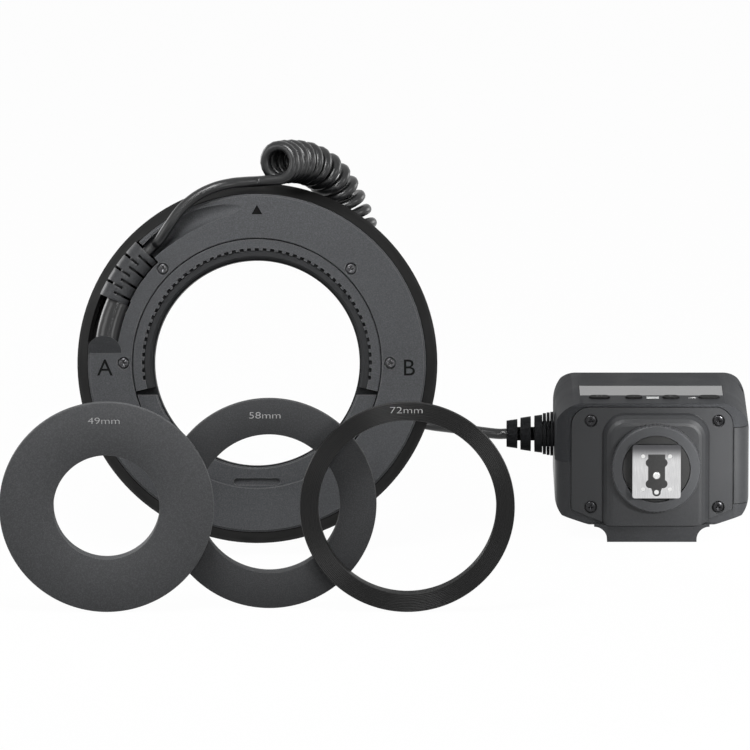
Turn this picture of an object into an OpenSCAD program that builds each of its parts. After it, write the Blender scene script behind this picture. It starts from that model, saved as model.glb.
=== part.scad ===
// Macro ring flash in millimetres: a ring head with a lens opening, a curly cord, a controller that
// slides into a camera's hot shoe, and three rings that adapt the head to lens filter threads.
// The origin is the centre of the lens opening on the plane where an adapter ring seats.
// +X is right, +Y is away from the viewer and +Z is up. The head leans back on its lower rim.

/* [Ring head] */
// Outer diameter of the front rim
head_d = 139; // [134:1:144]
// Depth of the head from the adapter seat to the front rim
head_depth = 23; // [22:0.5:27]
// Width of the rim that shows round the back cover
rim_w = 4.5; // [4:0.1:5]
// Diameter of the opening that the lens looks through
opening_d = 79; // [76:0.5:79.5]
// Angle by which the standing head leans back
lean = 12; // [8:1:14]
// Height of the back cover's face above the adapter seat
face_h = 4; // [3.8:0.1:4.4]
// Wall thickness of the housing
head_wall = 1.8; // [1.6:0.1:2]

/* [Adapter rings] */
// Outer diameter of every adapter ring
adapter_d = 81; // [80.6:0.1:81.4]
// Thickness of an adapter ring's plate
adapter_t = 2.4; // [2.2:0.1:2.8]
// Height of the threaded collar behind the plate
collar_h = 3.5; // [2.5:0.5:5]
// Thread diameter of the small ring
thread_small = 49; // [46:1:52]
// Thread diameter of the middle ring
thread_middle = 58; // [56:1:62]
// Thread diameter of the large ring
thread_large = 72; // [71:1:76]

/* [Locking jaw] */
// How far the jaw slides down to let an adapter ring out
jaw_travel = 3.2; // [2:0.2:3.2]
// Width of the thumb slot in the jaw
thumb_w = 18; // [12:1:24]

/* [Cord] */
// Diameter of the cord
cord_d = 4.1; // [3.6:0.1:4.4]
// Outer diameter of the curls
curl_d = 17; // [15:0.2:17.2]
// Gap between neighbouring curls on the inside of a bend
curl_gap = 0.5; // [0.5:0.05:1.2]

/* [Controller] */
// Width of the controller
ctrl_w = 75; // [74:0.5:80]
// Height of the controller over its foot spine
ctrl_h = 54; // [53:0.5:60]
// Depth that the controller needs beyond its battery cells, for contacts and walls
cell_room = 17.5; // [16:0.5:30]
// Height of the foot spine under the body
spine_h = 6; // [4:0.5:6.5]
// Wall thickness of the controller's shells
ctrl_wall = 2; // [1.6:0.1:2.2]

/* [Hot shoe foot] */
// Width of the shoe plate
shoe_w = 18.6; // [18.3:0.1:18.6]
// Length of the shoe plate
shoe_l = 21; // [20.6:0.1:22]
// Thickness of the shoe plate
shoe_t = 2; // [1.8:0.1:2]
// Diameter of the lock wheel
wheel_d = 34.5; // [33:0.5:38]

/* [Buttons] */
// Press depth of a button
press = 0.8; // [0.4:0.1:0.9]
// Depth of a button's cap, front to back
button_l = 4.6; // [4:0.2:5]

/* [Hidden] */
$fn = 96;

// Clearances
slip = 0.2;
press_gap = 0.02;
eps = 0.01;

// Ring head, in its own frame: x right, y up in the ring's plane, z along the axis to the viewer.
head_r = head_d / 2;
bore_r = opening_d / 2;
cover_r = head_r - rim_w;
front_z = -head_depth;
flare_z = front_z + 5;
skirt_z = 1;
back_r = cover_r + 0.3;
flare = (head_r - back_r) / (skirt_z - flare_z);
cover_t = 1.6;
cover_in_z = face_h - cover_t;
barrel_t = 1.5;
flange_t = 1.6;
grip_r = adapter_d / 2 + slip;
rail_r = grip_r + 7;
flange_r = rail_r + 0.7;
step_r = flange_r - head_wall + 0.2;
web_z = -4.5;
web_t = 1.5;
cover_open_r = rail_r + 0.3;
bead_r = grip_r - 0.6;
bead_z = 0.95;
bead_h = 0.5;
rail_end = 13.2;
rail_top = face_h - 0.4;
rail_step = 0.8;
tooth_r = grip_r + 2.6;
tooth_step = 3.9;
teeth = 51;
tooth_w = 1.6;
tooth_l = 1.1;
jaw_top = cover_in_z - slip;
jaw_low = 0.15;
jaw_edge = -12.2;
jaw_r = rail_r - slip;
tongue_w = 36;
tongue_end = 8 - cover_r;
guide = [14, 12 - cover_r];
guide_r = 1.5;
spring_x = 6;
spring_z = -1.6;
spring_seat = 2.6 - cover_r;
spring_r = 1.55;
spring_wire = 0.5;
spring_turns = 4;
screw_r = rail_r + 3.5;
low_screw_r = cover_r - 8;
screw_spots = [
    [screw_r, 0], [screw_r, 45], [screw_r, 135], [screw_r, 180], [low_screw_r, 228], [low_screw_r, 312]
];
window_a = 76;
window_in = bore_r + 5.5;
window_out = head_r - 5.5;
bezel_t = 1.8;
bezel_z = front_z + bezel_t;
tube_ring_r = (window_in + window_out) / 2;
tube_r = 2.2;
tube_z = web_z - web_t - 6;
tube_a = 70;
sheet = 0.6;
roof_w = 8;
roof_drop = 3;
lamp_r = 2.5;
lamp_spots = [84, 96, 264, 276];
trigger_r = tube_ring_r + 3.6;
trigger_w = 7.4;

// Cable entry on the head
boot_r = (cover_r - screw_r - 2.4) / 2;
boot_ring_r = screw_r + 3.3 + boot_r;
boot_z = 2.5;
boot_from = 135;
boot_to = 156.2;
sleeve_ring_r = boot_ring_r - 2;
sleeve_r = boot_r - 1.1;
sleeve_to = 172;
notch_r = boot_ring_r - boot_r - 0.3;
hood = [6.3 - cover_r, 3.85];
hood_r = sleeve_r + 2.1;
hood_rise = 38;
scoop_tip = 96;
scoop_r = 3.6;
scoop_ring_r = boot_ring_r - 0.2;
scoop_tilt = asin((face_h + scoop_r - boot_z) / (scoop_ring_r * sin(boot_from - scoop_tip)));

// Where things stand
floor_z = -(head_r * cos(lean) + head_depth * sin(lean));
ctrl_x = 152.4;
ctrl_y = 12.8;

// Adapter rings: place along X, plate front along Y, light opening
ring_small = [-55.8, -110.6, 40];
ring_middle = [5.5, -104.1, 53.4];
ring_large = [57.6, -110.6, 67];

// Controller, in its own frame: x from the middle, y up from the floor, z to the viewer.
cell_l = 49.5;
ctrl_depth = cell_l + cell_room;
body_low = spine_h;
body_top = ctrl_h;
body_cut = [13.6, 4.7];
spine_w = 34.6;
spine_near = 3;
spine_far = 11 - ctrl_depth;
part_y = 31;
body_r = 11;
plan_near_r = 6;
plan_far_r = 9;
side_near_r = 1.2;
side_far_r = 10;
plate_w = ctrl_w - 12.7;
plate_low = body_low + 0.8;
plate_top = body_top - 1.4;
plate_r = 7;
plate_cut = [13.4, 5.6];
plate_seat = -1.6;
plate_face = 0.8;
near_wall = -4;
pedestal_z = 5;
pedestal_w = 41.4;
pedestal_top = plate_top - 2.2;
pedestal_r = 9;
pedestal_steps = [[0, plate_face], [0.5, 2.4], [1.7, 4], [3.1, 4.8], [4.2, pedestal_z]];
shoe = [1.5, 30.2];
hub_r = 11.7;
hub_z = 7.6;
wheel_z = pedestal_z + 0.3;
wheel_h = 4.2;
wheel_r = wheel_d / 2;
collar_disc_r = 12.9;
collar_disc_h = 1.2;
neck_w = 12.2;
neck_l = 18.4;
shoe_z = 12;
contact = [0, -1.6];
contact_r = 1.5;
contact_low = 9.2;
pin = [0, -8.1];
pin_r = 0.9;
rivet_spots = [[-5.2, 6], [5.2, 6], [-5.2, -7], [5.2, -7]];
rivet_r = 0.8;
base_screw_spots = [[-23.6, 47.4], [25.6, 47.4], [-23.6, 13.3], [25.6, 13.3]];
display_w = 55.4;
display_far = -34;
display_near = -15.6;
button_z = -11;
button_spots = [-20.2, -6.9, 7.4, 22.2];
button_widths = [8, 6.4, 6.4, 8];
button_up = 0.7;
board_y = 46.9;
board_posts = [-27.5, 28.6];
door_low = 14.5;
door_top = 44.5;
door_in = ctrl_w / 2 - 5.8;
hinge = [ctrl_w / 2 - 1.8, 10.6 - ctrl_depth];
hinge_r = 0.8;
knuckle_r = 1.6;
swing_r = 2.9;
lug_z = [hinge[1] - 4.6, hinge[1] + 7.4];
door_slide = 5;
cell_r = 7.2;
cell_x = [ctrl_w / 2 - 25.9, ctrl_w / 2 - 11.3];
cell_y = [22.2, 36.8];
cell_far = 6.6 - ctrl_depth;
boss_low = cell_far + cell_l + 4.4;
cap_r = 11;
cap_l = 45;
cap_at = [18.5 - ctrl_w / 2, 21.5, 10 - ctrl_depth];
board_z = [9 - ctrl_depth, -8];
boot_at = [37.4, -22];
boot_tip = -18.5 - ctrl_w / 2;

// Cord route in the head's frame, which grows with the head. It runs over the cover and behind the ring.
route = head_d / 139;
lead_run = route * [
    [-37.4, 47.4, 4.6], [-33.6, 53, 6.6], [-29, 59.2, 6.8], [-23, 64.2, 6.8], [-16.4, 67.4, 6.6],
    [-10, 69, 5.2], [-4.6, 69.6, 2.6]
];
coil_run = route * [
    [8, 76.9, 2.8], [10.8, 77.5, -4.3], [14.9, 77.7, -11.8], [20.1, 76.7, -19.4], [25.8, 73.5, -26.5],
    [31, 67.4, -32.7], [35.4, 58.9, -36.8], [39.5, 48.6, -38.2], [43.4, 37.2, -37.8],
    [47.2, 24.5, -36.8], [50.6, 11, -35.6], [53, -2, -34.6], [54.2, -13, -34], [54.4, -22.5, -33.8]
];
coil_r = (curl_d - cord_d) / 2;
rings_per_curl = 8;

// Colours
graphite = "#4c4d51";
rim_black = "#18191b";
rubber = "#1d1e20";
matte = "#2f3033";
steel = "#b9bcc0";
nickel = "#cfd1d3";
glass = "#dfe6ea";
board_green = "#2d6b45";

// Vector helpers
function unit(v) = v / norm(v);
function carried(n, t) = unit(n - (n * t) * t);
function run_tangents(p) = [
    for (i = [0:len(p) - 1]) unit(p[min(i + 1, len(p) - 1)] - p[max(i - 1, 0)])
];
function run_normals(t, seed) = [
    for (i = 0, n = carried(seed, t[0]); i < len(t); i = i + 1, n = i < len(t) ? carried(n, t[i]) : n) n
];
// A point of the standing frame seen from the leaning head
function to_head(p) = [
    p[0], p[1] * sin(lean) + p[2] * cos(lean), -p[1] * cos(lean) + p[2] * sin(lean)
];
function rim_out(z) = back_r + flare * (skirt_z - z);
function rim_in(z) = rim_out(z) - head_wall;

// A closed tube of equal rings along a list of points
module swept_tube(p, r, sides, seed = [0, 0, 1]) {
    t = run_tangents(p);
    n = run_normals(t, seed);
    last = len(p) - 1;
    points = [
        for (i = [0:last])
            for (k = [0:sides - 1])
                p[i] + r * (cos(360 * k / sides) * n[i] + sin(360 * k / sides) * cross(t[i], n[i]))
    ];
    walls = [
        for (i = [0:last - 1])
            for (k = [0:sides - 1])
                let (a = i * sides + k, b = i * sides + (k + 1) % sides)
                    for (f = [[a, a + sides, b], [b, a + sides, b + sides]]) f
    ];
    caps = [
        [for (k = [0:sides - 1]) k],
        [for (k = [sides - 1:-1:0]) last * sides + k]
    ];
    polyhedron(points, concat(walls, caps), convexity = 10);
}

// Smooth axis of the curly cord through its route points, by length along it
axis_steps = 10;
function ghost(p, i) = i < 0 ? 2 * p[0] - p[1] : i >= len(p) ? 2 * p[len(p) - 1] - p[len(p) - 2] : p[i];
function bend(a, b, c, d, u) =
    0.5 * (2 * b + u * (c - a) + u * u * (2 * a - 5 * b + 4 * c - d) + u * u * u * (3 * b - a - 3 * c + d));
axis_points = [
    for (i = [0:len(coil_run) - 2])
        for (k = [0:axis_steps - 1])
            let (before = ghost(coil_run, i - 1), after = ghost(coil_run, i + 2))
                bend(before, coil_run[i], coil_run[i + 1], after, k / axis_steps),
    coil_run[len(coil_run) - 1]
];
axis_count = len(axis_points);
axis_length = [
    for (i = 0, s = 0; i < axis_count;
        i = i + 1, s = i < axis_count ? s + norm(axis_points[i] - axis_points[i - 1]) : s) s
];
axis_t = run_tangents(axis_points);
axis_n = run_normals(axis_t, [0, -1, 0]);
function along(list, s) = [
    for (c = [0:2]) lookup(s, [for (i = [0:axis_count - 1]) [axis_length[i], list[i][c]]])
];
// The curls lie close where the axis is straight and fan out over a bend, so that the gap on the
// inside of the bend stays the same. Each axis point gets its pitch, and the pitches add up to turns.
bend_reach = 6;
last_part = 1 / rings_per_curl;
function axis_bend(i) =
    let (a = max(i - bend_reach, 0), b = min(i + bend_reach, axis_count - 1))
        acos(min(axis_t[a] * axis_t[b], 1)) * PI / 180 / (axis_length[b] - axis_length[a]);
axis_pitch = [for (i = [0:axis_count - 1]) (cord_d + curl_gap) / (1 - coil_r * axis_bend(i))];
axis_turn = [
    for (i = 0, n = 0; i < axis_count;
        i = i + 1, n = i < axis_count
            ? n + 2 * (axis_length[i] - axis_length[i - 1]) / (axis_pitch[i] + axis_pitch[i - 1]) : n) n
];
curls = floor(axis_turn[axis_count - 1] - last_part) + last_part;
turn_table = [
    for (i = [0:axis_count - 1]) [axis_turn[i] * curls / axis_turn[axis_count - 1], axis_length[i]]
];
function curl_point(turn) =
    let (s = lookup(turn, turn_table), t = unit(along(axis_t, s)), n = carried(along(axis_n, s), t))
        along(axis_points, s) + coil_r * (cos(360 * turn) * n + sin(360 * turn) * cross(n, t));
curl_points = [for (k = [0:round(curls * rings_per_curl)]) curl_point(k / rings_per_curl)];
curl_last = len(curl_points) - 1;
curl_start_t = unit(curl_point(0.02) - curl_point(0));
curl_end_t = unit(curl_point(curls) - curl_point(curls - 0.02));
coil_start = curl_points[0] - cord_d * curl_start_t;
coil_end = curl_points[curl_last] + cord_d * curl_end_t;
coil_path = concat([coil_start], curl_points, [coil_end]);
least_gap = min([
    for (i = [0:curl_last])
        for (j = [i + 5:1:min(i + 20, curl_last)])
            norm(curl_points[i] - curl_points[j])
]) - cord_d;

// The straight leads at both ends of the curls
boot_end = [boot_ring_r * cos(boot_from), boot_ring_r * sin(boot_from), boot_z];
boot_out = [sin(boot_from), -cos(boot_from), 0];
lead_path = concat(
    [boot_end, boot_end + cord_d * boot_out], lead_run, [coil_start - cord_d * curl_start_t, coil_start]
);
boot_mouth = to_head([ctrl_x + boot_tip, ctrl_y - boot_at[1], floor_z + boot_at[0]]);
tail_run = route * [[68.5, -24.2, -28.4], [75.5, -25.1, -33.2], [83, -26.2, -38.2]];
tail_path = concat(
    [coil_end, coil_end + cord_d * curl_end_t], tail_run, [boot_mouth - [cord_d, 0, 0], boot_mouth]
);

// Frames
module head_frame() {
    rotate([90 - lean, 0, 0]) children();
}
module controller_frame() {
    translate([ctrl_x, ctrl_y, floor_z]) rotate([90, 0, 0]) children();
}
module spun(from = 0, sweep = 360) {
    rotate([0, 0, from]) rotate_extrude(angle = sweep) children();
}
module arc_tube(ring_r, r, z, from, sweep) {
    spun(from, sweep) translate([ring_r, z]) circle(r);
}
module at(spot, z = 0) {
    translate([spot[0] * cos(spot[1]), spot[0] * sin(spot[1]), z]) children();
}
module block(x, y, z) {
    translate([x[0], y[0], z[0]]) cube([x[1] - x[0], y[1] - y[0], z[1] - z[0]]);
}
// A slot outline with round ends, centred, w across and l deep
module stadium(w, l) {
    square([w - l, l], center = true);
    for (s = [-1, 1]) translate([s * (w - l) / 2, 0]) circle(l / 2);
}
// A rectangle with round corners between two heights, made of squares and circles
module rounded(w, low, top, r) {
    translate([-w / 2, low + r]) square([w, top - low - 2 * r]);
    translate([-w / 2 + r, low]) square([w - 2 * r, top - low]);
    for (x = [-w / 2 + r, w / 2 - r], y = [low + r, top - r]) translate([x, y]) circle(r);
}
// The same with its two lower corners cut off along slanted lines, cut[0] along and cut[1] up
module tapered(w, low, top, r, cut) {
    difference() {
        rounded(w, low, top, r);
        for (s = [-1, 1]) polygon([
            [s * (w / 2 - cut[0]), low], [s * (w / 2 + 1), low + cut[1] * (1 + 1 / cut[0])],
            [s * (w / 2 + 1), low - 1], [s * (w / 2 - cut[0]), low - 1]
        ]);
    }
}
// A cross recess in a screw head, cut down from z
module cross_recess(z, l) {
    for (a = [0, 90]) rotate([0, 0, a]) translate([-l / 2, -0.35, z - 0.6]) cube([l, 0.7, 1]);
}

// Ring head pieces

module front_housing() {
    color(rim_black) head_frame() difference() {
        union() {
            spun() polygon([
                [step_r, -flange_t], [flange_r, -flange_t], [flange_r, web_z], [rim_in(web_z), web_z],
                [rim_in(skirt_z), skirt_z], [rim_out(skirt_z), skirt_z], [head_r, flare_z],
                [head_r, front_z], [head_r - head_wall, front_z], [head_r - head_wall, flare_z],
                [rim_in(web_z - web_t), web_z - web_t], [step_r, web_z - web_t]
            ]);
            for (s = screw_spots) at(s, web_z - eps) cylinder(r = 2.6, h = cover_in_z - web_z + eps);
            for (x = [-guide[0], guide[0]]) translate([x, guide[1], web_z - eps]) {
                cylinder(r = 2.8, h = jaw_low - web_z - 0.05);
                cylinder(r = guide_r, h = jaw_top - web_z);
            }
            block([-11, 11], [spring_seat - 1.6, spring_seat], [web_z - eps, 0.6]);
        }
        arc_tube(boot_ring_r, boot_r + 0.4, boot_z, boot_from - 1.4, boot_to - boot_from + 18);
        for (s = screw_spots) at(s, -3) cylinder(r = 1.1 + press_gap, h = 10);
    }
}

module inner_barrel() {
    color(graphite) head_frame() spun() polygon([
        [bore_r, 0], [flange_r, 0], [flange_r, -flange_t], [bore_r + barrel_t, -flange_t],
        [bore_r + barrel_t, front_z], [bore_r, front_z]
    ]);
}

// The scoop for the cord is a ring tube tilted so that it leaves the cover's face at its tip
module scoop_tube(r) {
    translate([0, 0, face_h + scoop_r])
        rotate(a = -scoop_tilt, v = [cos(scoop_tip), sin(scoop_tip), 0])
            arc_tube(scoop_ring_r, r, 0, scoop_tip - 6, boot_from - scoop_tip + 9);
}

module cable_notch() {
    intersection() {
        spun(boot_from - 0.8, 50) translate([notch_r, -6]) square([16, 12]);
        translate([-80, hood[1], -6]) cube([80, 80, 12]);
    }
}

// A half-round hood on the cover that the sleeve runs into. Its top is a ramp up from the cover's face.
module sleeve_hood() {
    intersection() {
        translate([hood[0], hood[1], skirt_z]) cylinder(r = hood_r, h = 10);
        translate([0, 0, skirt_z]) cylinder(r = cover_r, h = 10);
        block([-80, 0], [hood[1] - 1, 20], [skirt_z, 10]);
        translate([-80, hood[1], face_h]) rotate([hood_rise, 0, 0])
            translate([0, -20, -20]) cube([80, 60, 20]);
    }
}

module back_cover() {
    color(graphite) head_frame() difference() {
        union() {
            difference() {
                union() {
                    spun() polygon([
                        [cover_open_r, cover_in_z], [back_r - head_wall - slip, cover_in_z],
                        [back_r - head_wall - slip, skirt_z], [cover_r, skirt_z], [cover_r, face_h - 0.8],
                        [cover_r - 0.8, face_h], [cover_open_r + 0.3, face_h], [cover_open_r, face_h - 0.3]
                    ]);
                    intersection() {
                        scoop_tube(scoop_r + 1.1);
                        translate([0, 0, -2.6]) cylinder(r = rim_in(skirt_z) - 0.3, h = face_h + 2.5);
                    }
                }
                scoop_tube(scoop_r);
                cable_notch();
            }
            sleeve_hood();
        }
        for (s = screw_spots) {
            at(s, face_h - 1) cylinder(r = 2.4, h = 2);
            at(s, 0) cylinder(r = 1.25, h = 10);
        }
        arc_tube(sleeve_ring_r, sleeve_r + press_gap, boot_z, boot_to - 2, sleeve_to - boot_to + 2.1);
    }
}

module cover_screws() {
    color(steel) head_frame() for (s = screw_spots) at(s) difference() {
        union() {
            translate([0, 0, face_h - 1]) cylinder(r = 2, h = 0.9);
            translate([0, 0, -2.8]) cylinder(r = 1.1, h = face_h + 2);
        }
        cross_recess(face_h - 0.1, 2.4);
    }
}

module adapter_rail() {
    color(graphite) head_frame() difference() {
        spun(-rail_end, 180 + 2 * rail_end) polygon([
            [grip_r, 0], [rail_r, 0], [rail_r, rail_top - 0.3], [rail_r - 0.3, rail_top],
            [tooth_r, rail_top], [tooth_r, rail_top - rail_step], [grip_r + 0.4, rail_top - rail_step],
            [grip_r, rail_top - rail_step - 0.4], [grip_r, bead_z + bead_h],
            [bead_r, bead_z + bead_h / 2 + 0.1], [bead_r, bead_z + bead_h / 2 - 0.1], [grip_r, bead_z]
        ]);
        for (i = [0:teeth - 1]) rotate([0, 0, 90 + (i - (teeth - 1) / 2) * tooth_step])
            translate([tooth_r - slip, -tooth_w / 2, rail_top - 1.8]) cube([tooth_l, tooth_w, 3]);
    }
}

module locking_jaw() {
    thick = jaw_top - jaw_low;
    color(graphite) head_frame() difference() {
        union() {
            intersection() {
                spun(180, 180) polygon([
                    [grip_r, jaw_low], [jaw_r, jaw_low], [jaw_r, jaw_top], [grip_r, jaw_top],
                    [grip_r, bead_z + bead_h], [bead_r, bead_z + bead_h / 2 + 0.1],
                    [bead_r, bead_z + bead_h / 2 - 0.1], [grip_r, bead_z]
                ]);
                block([-60, 60], [-60, jaw_edge], [-1, 6]);
            }
            block([-tongue_w / 2, tongue_w / 2], [tongue_end, 3.5 - jaw_r], [jaw_low, jaw_top]);
            block([-10, 10], [tongue_end, tongue_end + 2], [spring_z - 1.8, jaw_top]);
        }
        for (s = [-1, 1]) translate([s * guide[0], guide[1], 0]) {
            cylinder(r = guide_r + slip, h = 6);
            translate([0, jaw_travel, 0]) cylinder(r = guide_r + slip, h = 6);
            translate([-guide_r - slip, 0, 0]) cube([2 * (guide_r + slip), jaw_travel, 6]);
        }
        translate([0, 1.9 - jaw_r, jaw_top - thick / 2]) linear_extrude(3) stadium(thumb_w, 2.7);
    }
}

module jaw_springs() {
    length = tongue_end - spring_seat;
    rise = length - spring_wire;
    coil = [
        for (k = [0:spring_turns * rings_per_curl])
            let (a = 360 * k / rings_per_curl)
                [spring_r * cos(a), spring_wire / 2 + rise * a / (360 * spring_turns), spring_r * sin(a)]
    ];
    color(steel) head_frame() for (x = [-spring_x, spring_x])
        translate([x, spring_seat, spring_z]) swept_tube(coil, spring_wire / 2 - 0.02, 6, [0, 1, 0]);
}

module front_bezel() {
    color(rim_black) head_frame() difference() {
        spun() translate([bore_r + barrel_t, front_z])
            square([head_r - head_wall - bore_r - barrel_t, bezel_t]);
        for (a = [-window_a, 180 - window_a]) spun(a, 2 * window_a)
            translate([window_in, front_z - 1]) square([window_out - window_in, 4]);
        for (a = lamp_spots) at([tube_ring_r, a], front_z - 1) cylinder(r = lamp_r + slip, h = 4);
    }
}

module diffuser(middle) {
    color(glass) head_frame() {
        spun(middle - window_a - 1.5, 2 * window_a + 3)
            translate([window_in - 1, bezel_z]) square([window_out - window_in + 2, 1.3]);
        spun(middle - window_a + 0.3, 2 * window_a - 0.6)
            translate([window_in + slip, front_z + 0.2])
                square([window_out - window_in - 2 * slip, bezel_t]);
    }
}
module diffuser_a() { diffuser(180); }
module diffuser_b() { diffuser(0); }

module reflector(middle) {
    roof = web_z - web_t;
    lip = bezel_z + 1.4;
    near = window_in + 1.5;
    far = window_out - 1.5;
    crown = [tube_ring_r - roof_w / 2, tube_ring_r + roof_w / 2];
    color(steel) head_frame() spun(middle - window_a + 2, 2 * window_a - 4) polygon([
        [near, lip], [near, roof - roof_drop], [crown[0], roof], [crown[1], roof],
        [far, roof - roof_drop], [far, lip], [far - sheet, lip], [far - sheet, roof - roof_drop - 0.2],
        [crown[1] - 0.2, roof - sheet], [crown[0] + 0.2, roof - sheet],
        [near + sheet, roof - roof_drop - 0.2], [near + sheet, lip]
    ]);
}
module reflector_a() { reflector(180); }
module reflector_b() { reflector(0); }

module flash_tube(middle) {
    color(glass, 0.6) head_frame() arc_tube(tube_ring_r, tube_r, tube_z, middle - tube_a, 2 * tube_a);
}
module flash_tube_a() { flash_tube(180); }
module flash_tube_b() { flash_tube(0); }

module tube_electrodes() {
    color(steel) head_frame() for (middle = [0, 180], end = [-1, 1])
        arc_tube(tube_ring_r, tube_r + 0.3, tube_z, middle + end * (tube_a + 1.5) - 1.5, 3);
}

module tube_holders() {
    top = web_z - web_t - sheet;
    color("#e6e2d6") head_frame() for (middle = [0, 180], end = [-1, 1])
        spun(middle + end * (tube_a + 1.5) - 1, 2) difference() {
            translate([tube_ring_r - 3.2, tube_z - 3.4]) square([6.4, top - tube_z + 3.4]);
            translate([tube_ring_r, tube_z]) circle(tube_r + 0.3);
        }
}

module focus_lamps() {
    color("#eef2f0") head_frame() for (a = lamp_spots) at([tube_ring_r, a]) {
        translate([0, 0, bezel_z]) cylinder(r = lamp_r + 0.6, h = 1);
        translate([0, 0, front_z + 0.4]) cylinder(r = lamp_r, h = 5);
    }
}

module trigger_board() {
    color(board_green) head_frame() spun(8, 70)
        translate([trigger_r - trigger_w / 2, web_z]) square([trigger_w, 1.6]);
}

module trigger_coil() {
    color("#c98a3a") head_frame() at([trigger_r, 44], web_z + 1.6) {
        cylinder(r = 3.2, h = 0.6);
        cylinder(r = 2.6, h = 4);
        translate([0, 0, 3.4]) cylinder(r = 3.2, h = 0.6);
    }
}

module cable_sleeve() {
    color(rubber) head_frame() arc_tube(sleeve_ring_r, sleeve_r, boot_z, boot_to, sleeve_to - boot_to);
}

// Strain relief on the head: a bent rubber boot with slots on alternate sides
module head_strain_relief() {
    stations = 7;
    step = (boot_to - boot_from) / (stations + 1);
    slot_l = boot_r + 2;
    color(rubber) head_frame() difference() {
        arc_tube(boot_ring_r, boot_r, boot_z, boot_from, boot_to - boot_from);
        for (i = [1:stations]) let (side = i % 2 == 0 ? 1 : -1)
            spun(boot_from + i * step - 0.45, 0.9) difference() {
                translate([boot_ring_r + (side > 0 ? -1.2 : 1.2 - slot_l), boot_z - 8]) square([slot_l, 16]);
                translate([boot_ring_r, boot_z]) circle(cord_d / 2 + 1);
            }
    }
}

// Cord

module head_lead() {
    color(rubber) head_frame() swept_tube(lead_path, cord_d / 2, 8);
}

module curly_cord() {
    echo(str("curls ", curls, ", least gap of the cord to itself ", least_gap, " mm"));
    color(rubber) head_frame() swept_tube(coil_path, cord_d / 2, 6);
}

module controller_lead() {
    color(rubber) head_frame() swept_tube(tail_path, cord_d / 2, 8);
}

// Adapter rings: a flat plate with a grooved rim, and a threaded collar behind it
module adapter_ring(place, thread) {
    r = adapter_d / 2;
    hole = place[2] / 2;
    groove = 0.8;
    mid = adapter_t / 2;
    color(matte) translate([place[0], place[1], floor_z + r]) rotate([90, 0, 0]) spun() polygon([
        [hole + 0.4, 0], [r - 0.4, 0], [r, -0.4], [r, -mid + 0.4], [r - groove, -mid + 0.2],
        [r - groove, -mid - 0.2], [r, -mid - 0.4], [r, -adapter_t + 0.4], [r - 0.4, -adapter_t],
        [thread / 2, -adapter_t], [thread / 2, -adapter_t - collar_h], [hole, -adapter_t - collar_h],
        [hole, -0.4]
    ]);
}
module adapter_ring_49() { adapter_ring(ring_small, thread_small); }
module adapter_ring_58() { adapter_ring(ring_middle, thread_middle); }
module adapter_ring_72() { adapter_ring(ring_large, thread_large); }

// Controller pieces

// A rectangle whose two lower and two upper corners have their own radii
module framed(x, y, r_low, r_top) {
    translate([x[0], y[0] + r_low]) square([x[1] - x[0], y[1] - y[0] - r_low - r_top]);
    translate([x[0] + r_low, y[0]]) square([x[1] - x[0] - 2 * r_low, y[1] - y[0] - r_top]);
    translate([x[0] + r_top, y[0] + r_low]) square([x[1] - x[0] - 2 * r_top, y[1] - y[0] - r_low]);
    for (c = [x[0] + r_low, x[1] - r_low]) translate([c, y[0] + r_low]) circle(r_low);
    for (c = [x[0] + r_top, x[1] - r_top]) translate([c, y[1] - r_top]) circle(r_top);
}

// The body is what its outlines from behind, from above and from the side have in common
module body_form(inset) {
    intersection() {
        translate([0, 0, -ctrl_depth]) linear_extrude(ctrl_depth)
            tapered(ctrl_w - 2 * inset, body_low + inset, body_top - inset, body_r - inset, body_cut);
        rotate([-90, 0, 0]) linear_extrude(body_top + 5) framed(
            [-ctrl_w / 2 + inset, ctrl_w / 2 - inset], [inset, ctrl_depth - inset],
            plan_near_r - inset, plan_far_r - inset
        );
        translate([-ctrl_w, 0, 0]) rotate([90, 0, 90]) linear_extrude(2 * ctrl_w) framed(
            [body_low + inset, body_top - inset], [inset - ctrl_depth, -inset],
            side_far_r - inset, side_near_r
        );
    }
}
module body_solid() { body_form(0); }
module body_space() {
    intersection() {
        body_form(ctrl_wall);
        block([-60, 60], [0, 80], [-90, near_wall]);
    }
}

module door_box(grow) {
    block([door_in - grow, 60], [door_low - grow, door_top + grow], [hinge[1] - grow, 6]);
}

// The slot that a hinge pin end slides in
module hinge_slot(y, h) {
    translate([hinge[0], y, hinge[1]]) rotate([-90, 0, 0]) {
        cylinder(r = hinge_r + 0.05, h = h);
        translate([0, -door_slide, 0]) cylinder(r = hinge_r + 0.05, h = h);
        translate([-hinge_r - 0.05, -door_slide, 0]) cube([2 * hinge_r + 0.1, door_slide, h]);
    }
}

// The recess that the base plate lies in
module plate_recess() {
    translate([0, 0, plate_seat]) linear_extrude(9)
        tapered(plate_w + 0.3, plate_low - 0.15, plate_top + 0.15, plate_r, plate_cut);
}

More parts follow.
